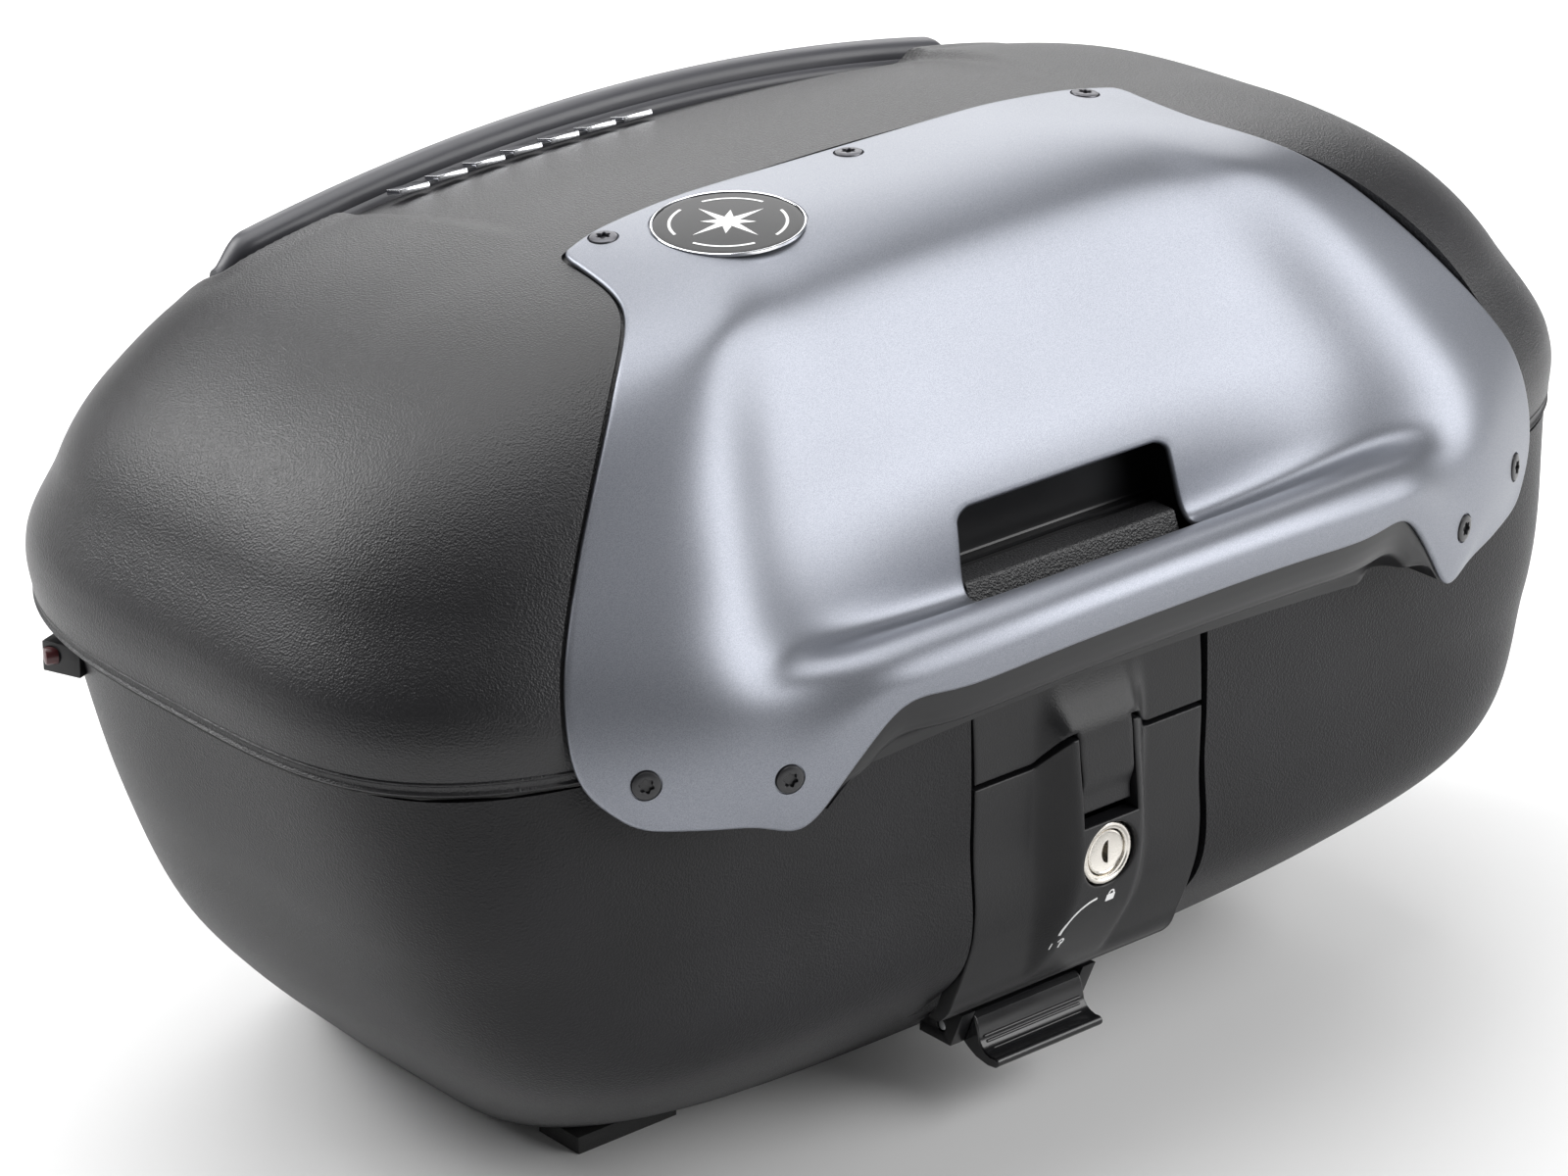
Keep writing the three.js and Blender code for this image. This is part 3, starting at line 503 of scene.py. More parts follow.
def rounded_loop(u_half, t0, t1, r_top, r_bottom, steps=24):
    """Rounded rectangle in the panel's domain, in millimetres, anticlockwise from the top right."""
    out = []
    w, top, low = u_half * DOMAIN_U, t0 * DOMAIN_T, t1 * DOMAIN_T
    corners = [(w - r_top, top + r_top, r_top, -90), (w - r_bottom, low - r_bottom, r_bottom, 0),
               (-w + r_bottom, low - r_bottom, r_bottom, 90), (-w + r_top, top + r_top, r_top, 180)]
    for cx, cy, r, begin in corners:
        for k in range(steps + 1):
            a = math.radians(begin + 90 * k / steps)
            out.append((cx + r * math.cos(a), cy + r * math.sin(a)))
    return np.array(out)


def radius_at(loop, centre, angles):
    """Distance from the centre to the loop along each direction."""
    a = np.arctan2(loop[:, 1] - centre[1], loop[:, 0] - centre[0])
    closed = np.vstack([loop, loop[:1]])
    dense = np.concatenate([np.linspace(closed[k], closed[k + 1], 60, endpoint=False)
                            for k in range(len(loop))])
    a = np.arctan2(dense[:, 1] - centre[1], dense[:, 0] - centre[0])
    r = np.hypot(dense[:, 0] - centre[0], dense[:, 1] - centre[1])
    order = np.argsort(a)
    return np.interp(angles, a[order], r[order], period=2 * math.pi)


def even_angles(loop, centre, count):
    closed = np.vstack([loop, loop[:1]])
    length = np.concatenate([[0], np.cumsum(np.hypot(*np.diff(closed, axis=0).T))])
    at = np.linspace(0, length[-1], count, endpoint=False)
    x, y = np.interp(at, length, closed[:, 0]), np.interp(at, length, closed[:, 1])
    return np.arctan2(y - centre[1], x - centre[0])


PANEL_CENTRE = (0.0, 0.5 * sum(OPENING_T) * DOMAIN_T)
OUTLINE = rounded_loop(1.0, 0.0, 1.0, 7.0, 6.0)
OPENING = rounded_loop(OPENING_U, *OPENING_T, 4.5, 1.6)


def on_panel(radius, angles):
    u = (PANEL_CENTRE[0] + radius * np.cos(angles)) / DOMAIN_U
    t = (PANEL_CENTRE[1] + radius * np.sin(angles)) / DOMAIN_T
    return panel_point(u, t), panel_normal(u, t)


def edge_frame(radius, angles, outward):
    """For a loop on the panel: its points, normals and the direction across its edge."""
    p, n = on_panel(radius, angles)
    along = np.roll(p, -1, 0) - np.roll(p, 1, 0)
    across = unit(np.cross(along, n))
    step = on_panel(radius + 0.5 * outward, angles)[0] - p
    across *= np.sign(np.sum(across * step, -1, keepdims=True))
    reach = np.sum(across * step, -1) / 0.5
    return p, n, across, reach


def rolled_edge(radius, angles, outward, r, steps=6):
    """Rings that carry the sheet's front round to its back over a half circle."""
    p, n, across, _ = edge_frame(radius, angles, outward)
    turns = np.linspace(0, math.pi, steps + 1)
    return [p - r * n + r * (math.cos(a) * n + math.sin(a) * across) for a in turns]


def build_panel():
    count, rings = 620, 120
    r = PANEL_T / 2
    angles = even_angles(OUTLINE, PANEL_CENTRE, count)
    outer, inner = radius_at(OUTLINE, PANEL_CENTRE, angles), radius_at(OPENING, PANEL_CENTRE, angles)
    outer = outer - r / np.maximum(0.2, edge_frame(outer, angles, 1)[3])
    inner = inner + r / np.maximum(0.2, edge_frame(inner, angles, -1)[3])
    front, back = [], []
    for share in np.linspace(0, 1, rings):
        p, n = on_panel(inner + (outer - inner) * share, angles)
        front.append(p)
        back.append(p - PANEL_T * n)
    loops = front + rolled_edge(outer, angles, 1, r)[1:-1] + back[::-1]
    loops += rolled_edge(inner, angles, -1, r)[::-1][1:-1]
    points = np.concatenate(loops)
    rows = len(loops)
    faces = grid_faces(rows, count)
    faces += [[(rows - 1) * count + j, (rows - 1) * count + (j + 1) % count, (j + 1) % count, j]
              for j in range(count)]
    return piece("silver_panel", points, faces, "lid", LOOKS["silver"], ["trim_panel"], 60)


# ---- lid ----
def seat_tool():
    """Solid that clears the lid where the panel lies, with a gap round its edge."""
    count, rings, deep, near, far = 620, 60, PANEL_T + 1.2, 5.0, 70.0
    away = np.array([0, -0.6, 0.8])
    angles = even_angles(OUTLINE, PANEL_CENTRE, count)
    outer = radius_at(OUTLINE, PANEL_CENTRE, angles)
    outer = outer + SEAT_GAP / np.maximum(0.2, edge_frame(outer, angles, 1)[3])
    low, high = [], []
    for share in np.linspace(0.004, 1, rings):
        p, n = on_panel(outer * share, angles)
        low.append(p - deep * n)
        high.append(p + near * n + far * away)
    edge = on_panel(outer, angles)
    loops = low + [edge[0] + near * edge[1]] + high[::-1]
    points = np.concatenate(loops)
    faces = grid_faces(len(loops), count)
    faces += [list(range(count)), [len(points) - count + j for j in range(count)]]
    return raw_object("seat_tool", points, faces)


def lid_relief(p):
    """Raised shoulders beside the plain middle strip, with a channel for the rail's ends."""
    x, y, z = np.abs(p[..., 0]), p[..., 1], p[..., 2]
    edge = 119.5 + (y - 143.5) * 0.077
    raised = 3.6 * smooth(y, 146, 240) * (1 - smooth(y, 292, 312)) * (1 - smooth(x, 190, 250))
    lip = 1.8 * smooth(y, 238, 249) * (1 - smooth(y, 290, 304)) * (1 - smooth(x, 170, 190))
    channel = smooth(y, 250.5, 254.5) * (1 - smooth(y, 277, 283)) * (1 - smooth(x, 172, 180))
    return (raised + lip) * (1 - channel) * smooth(x, edge - 1.5, edge + 4.5) * smooth(z, 150, 175)


def lip_profile(h):
    """How far the lid's lower edge stands out, by height above the rim: two thin beads."""
    return 0.9 * np.exp(-((h - 1.0) / 0.8) ** 2) + 0.7 * np.exp(-((h - 5.4) / 0.7) ** 2) - 0.5 * (h < 6.5)


def build_lid():
    count = 560
    angles = np.linspace(-math.pi, math.pi, count, endpoint=False)
    m = lid_shares(angles)[3]
    heights = np.concatenate([np.arange(0, 8.4, 0.35), np.arange(9, 100, 1.6)])
    outer, inner = [], []
    for h in heights:
        turn = np.arcsin((h / LID_RISE) ** (m / 2))
        p = lid_point(angles, turn)
        push = unit(p * [1, 1, 0] - [0, LID_CENTRE_Y, 0])
        outer.append(p + push * lip_profile(h))
    start = np.cos(turn)
    for share in np.linspace(0, 1, 76)[1:-1]:
        p = lid_point(angles, np.arccos(start * (1 - share) ** 3))
        p[:, 2] += lid_relief(p)
        outer.append(p)
    for share in np.linspace(0, 1, 40)[:-1]:
        turn = np.arccos((1 - share) ** 3)
        q = lid_point(angles, turn)
        width = curve([97, 161, 219, 282, 344], [220, 210, 182, 143, 124], q[:, 1] + q[:, 2])
        beside = 1 - smooth(np.abs(q[:, 0]), width - 8, width + 8)
        deep = WALL + 12 * beside * (1 - smooth(q[:, 1], 132, 150))
        p = lid_point(angles, turn, deep)
        p[:, 2] += lid_relief(p)
        inner.append(p)
    loops = inner[::-1] + outer
    points = np.concatenate(loops)
    faces = grid_faces(len(loops), count)
    faces += [list(range(count)), [len(points) - count + j for j in range(count)]]
    lid = raw_object("lid_cover", points, faces)
    cut_away(lid, seat_tool())
    cut_away(lid, raw_object("recess_hole", *block(-56.5, 56.5, -30, 70, 84.8, 142)))
    return dress(lid, "lid", LOOKS["shell"], ["lid_shell"], 32)


# ---- base ----
def closed_stack(name, loops):
    """Closed body through rings of equal length, with flat ends."""
    points = np.concatenate(loops)
    count = len(loops[0])
    faces = grid_faces(len(loops), count)
    faces += [list(range(count)), [len(points) - count + j for j in range(count)]]
    return raw_object(name, points, faces)


def pocket_blocks(grow):
    """The latch's pocket: a tall shallow part and a deeper low part."""
    w = POCKET_HALF + grow
    return [block(-w, w, -60, 20 + grow, -64 - grow, 92),
            block(-w, w, -60, 38.5 + grow, -66 - grow, -30 + grow)]


def build_base():
    count = 560
    angles = np.linspace(-math.pi, math.pi, count, endpoint=False)
    foot_r = 4.0
    outer = [tub_point(angles, BASE_FLOOR_Z + foot_r * (1 - math.sin(a)), foot_r * (1 - math.cos(a)))
             for a in np.linspace(math.pi / 2, 0, 7)[:-1]]
    outer += [tub_point(angles, z) for z in np.linspace(BASE_FLOOR_Z + foot_r, BASE_TOP_Z, 100)]
    hollow = [tub_point(angles, z, WALL) for z in np.linspace(BASE_FLOOR_Z + WALL, BASE_TOP_Z, 60)]
    hollow.append(hollow[-1] + np.array([0, 0, 8.0]))
    cavity = closed_stack("cavity", hollow)
    for shape in pocket_blocks(WALL):
        cut_away(cavity, raw_object("pocket_wall", *shape))
    base = closed_stack("base_tub", outer)
    for shape in pocket_blocks(0):
        cut_away(base, raw_object("pocket", *shape))
    cut_away(base, cavity)
    return dress(base, "base", LOOKS["tub"], ["base_shell"], 32)


# ---- latch ----
def inside(poly, pts):
    """Which points lie inside a polygon."""
    x, z = pts[:, 0], pts[:, 1]
    hit = np.zeros(len(pts), bool)
    for (x0, z0), (x1, z1) in zip(poly, np.roll(poly, -1, 0)):
        crosses = (z0 > z) != (z1 > z)
        with np.errstate(divide="ignore", invalid="ignore"):
            hit ^= crosses & (x < (x1 - x0) * (z - z0) / (z1 - z0) + x0)
    return hit


def dense_loop(poly, step):
    """Points along a polygon and, at each, the inward mitre direction."""
    poly = np.asarray(poly, float)
    area = 0.5 * np.sum(poly[:, 0] * np.roll(poly[:, 1], -1) - np.roll(poly[:, 0], -1) * poly[:, 1])
    if area < 0:
        poly = poly[::-1]
    edge = unit(np.roll(poly, -1, 0) - poly)
    inward = np.stack([-edge[:, 1], edge[:, 0]], -1)
    mitre = inward + np.roll(inward, 1, 0)
    mitre /= np.sum(mitre * inward, -1, keepdims=True)
    points, ways = [], []
    for k in range(len(poly)):
        nxt = (k + 1) % len(poly)
        n = max(1, int(np.ceil(np.linalg.norm(poly[nxt] - poly[k]) / step)))
        for s in range(n):
            f = s / n
            points.append(poly[k] * (1 - f) + poly[nxt] * f)
            ways.append(mitre[k] * (1 - f) + mitre[nxt] * f)
    return np.array(points), np.array(ways)


def plate(name, outline, face, depth, radius, body, look, stands_for=(), holes=(), step=1.5, sharp=40):
    """Plate in the X-Z plane whose front follows face(x, z), with rounded front edges."""
    loops = [dense_loop(outline, step)] + [dense_loop(h, step / 2) for h in holes]
    flip = [1] + [-1] * len(holes)
    inset = [p + w * radius * s for (p, w), s in zip(loops, flip)]
    lo, hi = np.min(inset[0], 0), np.max(inset[0], 0)
    gx, gz = np.meshgrid(np.arange(lo[0], hi[0], step), np.arange(lo[1], hi[1], step))
    filler = np.stack([gx.ravel(), gz.ravel()], -1)
    keep = inside(inset[0], filler)
    for h in inset[1:]:
        keep &= ~inside(h, filler)
    filler = filler[keep]
    ring = np.concatenate(inset)
    gap = np.min(np.hypot(*(filler[:, None] - ring[None]).transpose(2, 0, 1)), axis=1)
    filler = filler[gap > 0.55 * step]
    edges, at = [], 0
    for loop in inset:
        edges += [(at + k, at + (k + 1) % len(loop)) for k in range(len(loop))]
        at += len(loop)
    flat = [Vector(p) for p in np.concatenate([ring, filler])]
    made = delaunay_2d_cdt(flat, edges, [], 1, 1e-5)
    verts = np.array([[*v] for v in made[0]])
    tris = [list(f) for f in made[2]]
    for h in inset[1:]:
        centres = np.array([verts[f].mean(0) for f in tris])
        tris = [f for f, out in zip(tris, ~inside(h, centres)) if out]
    source = {o: k for k, originals in enumerate(made[3]) for o in originals}
    y = face(verts[:, 0], verts[:, 1])
    points = [np.stack([verts[:, 0], y, verts[:, 1]], -1)]
    faces = list(tris)
    total = len(verts)
    offset = 0
    last_rings = []
    for (p, w), s, loop in zip(loops, flip, inset):
        n = len(p)
        current = [source[offset + k] for k in range(n)]
        base_y = face(loop[:, 0], loop[:, 1])
        for a in list(np.linspace(0, math.pi / 2, 5)[1:]) + [None]:
            if a is None:
                flatpos, yy = p, base_y + depth
            else:
                flatpos = p + w * s * radius * (1 - math.sin(a))
                yy = base_y + radius * (1 - math.cos(a))
            points.append(np.stack([flatpos[:, 0], yy, flatpos[:, 1]], -1))
            fresh = list(range(total, total + n))
            total += n
            faces += [[current[k], current[(k + 1) % n], fresh[(k + 1) % n], fresh[k]] for k in range(n)]
            current = fresh
        last_rings.append(current)
        offset += n
    shift = total
    back = np.stack([verts[:, 0], y + depth, verts[:, 1]], -1)
    points.append(back)
    faces += [[v + shift for v in reversed(f)] for f in tris]
    offset = 0
    for loop, ringv in zip(inset, last_rings):
        n = len(loop)
        behind = [source[offset + k] + shift for k in range(n)]
        faces += [[ringv[k], ringv[(k + 1) % n], behind[(k + 1) % n], behind[k]] for k in range(n)]
        offset += n
    return piece(name, np.concatenate(points), faces, body, look, stands_for, sharp)


def flat_face(z):
    return curve([-59, -54, -45, -38, -30, -20, -10, 10, 35, 48, 70],
                 [27, 21.5, 17, 14, 11, 8, 7, 8.1, 7.9, 8.4, 10], z)


def rib_crest(z):
    return curve([-59, -53, -47, -38, -20, -14, 36, 48, 58, 70], [27, 21, 16, 10, 1, -1, -1, 1, 6.5, 11], z)


def latch_face(x, z):
    """Front of the latch: the plate with a raised rib down its middle."""
    plain, crest = flat_face(z), np.minimum(rib_crest(z), flat_face(z))
    foot = 26 - 6 * smooth(-z, 20, 50)
    return crest + (plain - crest) * smooth(np.abs(x), 13.6, foot)


def circle(r, n=64):
    a = np.linspace(0, 2 * math.pi, n, endpoint=False)
    return np.stack([r * np.cos(a), r * np.sin(a)], -1)


def split_height(x):
    """Height of the gap between the latch and the lid's hasp."""
    return 36.6 + 9.5 * (1 - smooth(np.abs(x), 14, 27))


def build_latch():
    side = np.linspace(27, 12.4, 9)
    horn = [(x, float(split_height(x)) - 0.3) for x in side]
    outline = [(-LATCH_HALF, LATCH_FOOT), (LATCH_HALF, LATCH_FOOT), (LATCH_HALF, LATCH_TOP)] + horn
    outline += [(NOTCH_HALF, NOTCH_Z), (-NOTCH_HALF, NOTCH_Z)]
    outline += [(-x, z) for x, z in reversed(horn)] + [(-LATCH_HALF, LATCH_TOP)]
    plate("latch_cover", outline, latch_face, 6.5, 0.8, "latch", LOOKS["latch"],
          ["latch_flap"], [circle(12.1)])


def build_apron():
    """Dark skirt below the panel's arch that flows down into the hasp."""
    half = 140.0
    us = np.linspace(-0.8, 0.8, 900)
    arch = panel_point(us, np.ones_like(us))
    xs = np.linspace(-half, half, 301)
    top_y = np.interp(xs, arch[:, 0], arch[:, 1]) + 1.6
    top_z = np.interp(xs, arch[:, 0], arch[:, 2]) - 1.4
    low_z = 66 - 4 * (xs / 130) ** 2
    low_y = np.maximum(5.2 - 1.4 * (xs / half) ** 2, top_y + 3)
    fade = smooth(-np.abs(xs), -half, -122)
    low_z = np.minimum(top_z - 1.5, low_z * fade + (top_z - 2) * (1 - fade))
    deep, tall = low_y - top_y, top_z - low_z
    band = np.clip(tall / 26, 0.05, 1)
    knots = [(0.6, -1.4), (0.9, 1.4), (1.5, 5.0), (3.0, 9.6), (5.8, 13.4)]
    ys = [top_y + k[0] * band for k in knots] + [top_y + share * deep for share in (0.5, 0.78, 0.94, 1.0)]
    zs = [top_z - k[1] * band for k in knots]
    zs += [top_z - (13.4 * band + share * (tall - 13.4 * band)) for share in (0.16, 0.4, 0.7, 1.0)]
    at = np.arange(len(ys), dtype=float)
    rows = []
    for k in np.linspace(0, len(ys) - 1, 56):
        y, z = ([float(curve(at, [v[j] for v in side], k)) for j in range(len(xs))] for side in (ys, zs))
        rows.append(np.stack([xs, y, z], -1))
    front = np.array(rows)
    back = front + np.array([0, 2.4, 0.6])
    lip = front[:1] + np.array([0, 0.5, 1.2])
    sheets = np.concatenate([lip, front])
    behind = np.concatenate([lip + np.array([0, 1.6, 0.2]), back])
    n = len(xs)
    m = len(sheets)
    points = np.concatenate([sheets.reshape(-1, 3), behind.reshape(-1, 3)])
    faces = grid_faces(m, n, False) + [f[::-1] for f in grid_faces(m, n, False, m * n)]
    faces += [[k, k + 1, m * n + k + 1, m * n + k] for k in range(n - 1)]
    base = (m - 1) * n
    faces += [[base + k, m * n + base + k, m * n + base + k + 1, base + k + 1] for k in range(n - 1)]
    for k in range(m - 1):
        faces.append([k * n, m * n + k * n, m * n + (k + 1) * n, (k + 1) * n])
        faces.append([k * n + n - 1, (k + 1) * n + n - 1, m * n + (k + 1) * n + n - 1, m * n + k * n + n - 1])
    piece("arch_skirt", points, faces, "lid", LOOKS["satin"], ["arch_trim"], 50)


def build_hasp():
    def face(x, z):
        tongue = 2.6 * (1 - smooth(z, 22, 31)) * (np.abs(x) < 12)
        return latch_face(x, z) + tongue
    side = np.linspace(12.4, 27, 9)
    steps = [(x, float(split_height(x)) + 1.4) for x in side]
    outline = [(LATCH_HALF, 38), (LATCH_HALF, 66), (-LATCH_HALF, 66), (-LATCH_HALF, 38)]
    outline += [(-x, z) for x, z in reversed(steps)]
    outline += [(-11.4, 17.2), (11.4, 17.2)] + steps
    plate("hasp_cover", outline, face, 4.5, 0.8, "lid", LOOKS["latch"], ["hasp_plate"])


def prism(name, points):
    """Closed body between two equal outlines, listed one after the other."""
    n = len(points) // 2
    faces = [list(range(n)), [n + k for k in range(n)]]
    faces += [[k, (k + 1) % n, n + (k + 1) % n, n + k] for k in range(n)]
    return raw_object(name, points, faces)


def prism_x(name, outline, x0, x1):
    """Closed body: an outline of y, z pairs pushed along X."""
    return prism(name, [[x, y, z] for x in (x0, x1) for y, z in outline])


# ---- lock ----
def build_lock():
    centre, out = np.zeros(3), (0, -1, 0)
    bezel = [(8.6, -2.2), (8.6, 0.8), (8.8, 1.15), (9.5, 1.3), (9.75, 1.65), (10.2, 1.85), (10.9, 1.75),
             (11.4, 1.3), (11.7, 0.5), (11.7, -2.2)]
    revolved("bezel_ring", bezel, centre, out, "latch", LOOKS["nickel"], ["lock_bezel"],
             128, 40, True)
    plug = [(0, -16.2), (8.2, -16.2), (8.2, 0.45), (8.0, 0.8), (7.5, 0.95), (7.2, 0.8), (7.0, 0.7), (0, 0.7)]
    core = revolved("key_plug", plug, centre, out, "lock", LOOKS["nickel"], ["lock_plug"], 128, 40)
    turn = np.linspace(math.radians(100), math.radians(260), 24)
    slot = [(1.1 + 3.1 * math.cos(a) * 0.95, 4.3 * math.sin(a)) for a in turn]
    slot += [(1.1, -4.3), (1.1, 4.3)]
    cut_away(core, prism("keyway", [[x, y, z] for y in (-4, 7) for x, z in slot]))
    core.data.set_sharp_from_angle(angle=math.radians(40))


def strokes(name, paths, body, look):
    """Thin printed lines on the latch: each path is x, z pairs with a width."""
    points, faces = [], []
    for path, width in paths:
        path = np.asarray(path, float)
        along = unit(np.gradient(path, axis=0))
        side = np.stack([-along[:, 1], along[:, 0]], -1) * width / 2
        start = len(points)
        for lift in (-0.12, 0.3):
            for edge in (path + side, path - side):
                y = latch_face(edge[:, 0], edge[:, 1]) + lift
                points += np.stack([edge[:, 0], y, edge[:, 1]], -1).tolist()
        n = len(path)
        rows = [start, start + n, start + 3 * n, start + 2 * n]
        for k in range(4):
            a, b = rows[k], rows[(k + 1) % 4]
            faces += [[a + j, a + j + 1, b + j + 1, b + j] for j in range(n - 1)]
        faces += [[r for r in rows], [r + n - 1 for r in rows]]
    return piece(name, points, faces, body, look)


def padlock(x, z, is_open):
    """Small padlock sign as strokes: a solid body and a shackle."""
    body = [(x, z + v) for v in np.linspace(-1.6, 1.3, 12)]
    lean = math.radians(28 if is_open else 0)
    turn = np.linspace(0, math.pi, 16)
    shackle = [(1.15 * math.cos(a), 1.4 + 1.5 * math.sin(a)) for a in turn]
    shackle = [(1.15, 0.9)] + shackle + ([(-1.15, 1.2)] if is_open else [(-1.15, 0.9)])
    shift = 0.5 if is_open else 0.0
    c, s = math.cos(lean), math.sin(lean)
    shackle = [(x + shift + u * c + v * s, z - u * s + v * c) for u, v in shackle]
    return [(body, 3.8), (shackle, 0.6)]


def build_lock_marks():
    turn = np.linspace(math.radians(180), math.radians(95), 40)
    arc = [(-1.8 + 13.4 * math.cos(a), -29.2 + 12.4 * math.sin(a)) for a in turn]
    paths = [(arc, 0.9)] + padlock(3.6, -18.4, False) + padlock(-14.4, -34.2, True)
    strokes("lock_marks", paths, "latch", LOOKS["print"])


# ---- lever ----
def build_lever():
    outline = [(38.5, -68.6), (36.6, -70.4), (35.4, -73.4), (34.6, -76.6), (34.1, -78.6), (32.9, -80.2),
               (31, -81.4), (28.4, -82.1), (26, -81.8), (24.7, -82.6), (24.5, -84.2), (26, -85.7),
               (30, -86.2), (36, -85.2), (40, -83.2), (44, -80.5), (50.5, -78.5), (50, -73), (44, -70)]
    pad = prism_x("lever_pad", outline, -25, 25)
    dress(pad, "lever", LOOKS["gloss"], ["release_lever"], 24)
    round_edges(pad, 0.7, 3, 35)
    ribs = [(34.5, -77.2, 22.4, 0.62), (33.9, -79.2, 21.6, 0.62), (31.6, -81.2, 20.4, 0.4)]
    for k, (y, z, half, r) in enumerate(ribs):
        cap = [(r * math.sin(a), -r * math.cos(a)) for a in np.linspace(0, math.pi / 2, 7)]
        profile = cap + [(p, 2 * half - h) for p, h in reversed(cap)]
        revolved(f"lever_rib_{k + 1}", profile, np.array([-half, y, z]), (1, 0, 0), "lever",
                 LOOKS["gloss"], (), 24)


# ---- finger tray ----
def build_tray():
    outer = [(-3.9, 106), (-3.9, 98), (6, 86.2), (47.9, 86.2), (47.9, 139.5), (-3.9, 139.5)]
    inner = [(-1.6, 99.2), (7.2, 88.6), (30.6, 88.6), (30.6, 105.2), (31, 105.9), (33.4, 106), (33.7, 104.9),
             (35, 104.9), (35.3, 106.4), (38.3, 106.6), (38.8, 107.2), (40.4, 126), (41, 150), (-1.6, 150)]
    tray = prism_x("finger_tray", outer, -55.6, 55.6)
    cut_away(tray, prism_x("tray_hollow", inner, -53.4, 53.4))
    cut_away(tray, seat_tool())
    dress(tray, "lid", LOOKS["satin"], ["recess_tray"], 30)
    pad = [(12, 89), (30.2, 89), (30.2, 106.6), (29.6, 107.2), (20, 107), (19.2, 106.4)]
    strip = prism_x("grip_cover", pad, -48, 48)
    dress(strip, "lid", LOOKS["strip"], ["grip_strip"], 30)
    round_edges(strip, 0.5)


# ---- rail ----
RAIL_HALF = 170.0
RAIL_SECTION = [(0.0, 24), (0.0, 8.8), (0.5, 7.3), (1.6, 6.2), (2.9, 5.8), (3.6, 6.4), (4.0, 6.4), (4.2, 4.2),
                (5.0, 2.2), (6.8, 0.8), (9.0, 0.1), (11.6, 0.1), (13.8, 1.0), (15.4, 2.8), (16.2, 5.2),
                (16.5, 8.8), (16.5, 24)]


def build_rail():
    """Two-lobed rail across the back of the lid; it tapers away at its ends."""
    loops = []
    section = np.array(RAIL_SECTION)
    for x in np.linspace(-RAIL_HALF, RAIL_HALF, 241):
        taper = float(smooth(abs(x), RAIL_HALF - 16, RAIL_HALF))
        y = 258.5 + 4.5 * taper + section[:, 0] * (1 - 0.45 * taper)
        crest = 201.5 - 0.00062 * x * x - 8.0 * taper**2
        deck = lid_height(np.full(y.shape, x), y) - 0.8
        z = np.maximum(crest - section[:, 1] * (1 - 0.4 * taper), deck)
        loops.append(np.stack([np.full(y.shape, x), y, z], -1))
    rail = closed_stack("rail_cover", loops)
    weld(rail, 1e-6, True)
    dress(rail, "lid", LOOKS["rail"], ["rear_rail"], 38)


# ---- badge and screws, set into the panel ----
def node_middle(name):
    low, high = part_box(name)
    return np.array([(a + b) * 500 for a, b in zip(low, high)]) - ORIGIN


def spot_on_panel(name):
    """The panel's point and normal nearest to a CAD node."""
    u, t = np.meshgrid(np.linspace(-1, 1, 801), np.linspace(0, 1, 601))
    at = panel_point(u, t)
    k = np.unravel_index(np.argmin(np.sum((at - node_middle(name)) ** 2, -1)), u.shape)
    return at[k], panel_normal(u[k], t[k])


SCREW_NODES = [f"panel_screw_{k}" for k in range(1, 8)]
SCREW_SPOTS = [spot_on_panel(name) for name in SCREW_NODES]
BADGE_SPOT = spot_on_panel("badge_disc")
HEAD_R = 4.9
BADGE_R = 26.5


def well(name, spot, radius, depth):
    """Round cutter for a shallow well in the panel."""
    profile = [(0, -depth), (radius, -depth), (radius, 4), (0, 4)]
    cutter = revolved(name, profile, spot[0], spot[1], "lid", LOOKS["silver"], (), 72)
    return cutter


def sink_wells(panel):
    for k, spot in enumerate(SCREW_SPOTS):
        cut_away(panel, well(f"screw_well_{k}", spot, HEAD_R + 0.45, 0.9))
    cut_away(panel, well("badge_well", BADGE_SPOT, BADGE_R + 0.3, 1.7))


def build_screws():
    steps = 72
    turn = np.linspace(0, 2 * math.pi, steps, endpoint=False)
    lobes = 2.25 + 0.38 * np.cos(6 * turn)
    rings = [(HEAD_R - 0.1, -0.9), (HEAD_R, -0.1), (HEAD_R - 0.25, 0.35), (HEAD_R - 0.9, 0.62), (3.2, 0.74),
             (lobes + 0.15, 0.76), (lobes, 0.62), (lobes * 0.96, -0.55), (0.0, -0.7)]
    for k, (name, (at, normal)) in enumerate(zip(SCREW_NODES, SCREW_SPOTS)):
        axis = Vector(normal)
        side = np.array(axis.orthogonal().normalized())
        other = np.cross(normal, side)
        loops = [at + np.outer(r * np.cos(turn), side) + np.outer(r * np.sin(turn), other) + h * normal
                 for r, h in rings]
        screw = closed_stack(f"screw_head_{k + 1}", loops)
        weld(screw, 1e-7)
        look = LOOKS["top_screw"] if k < 3 else LOOKS["screw"]
        dress(screw, "lid", look, [name], 38)


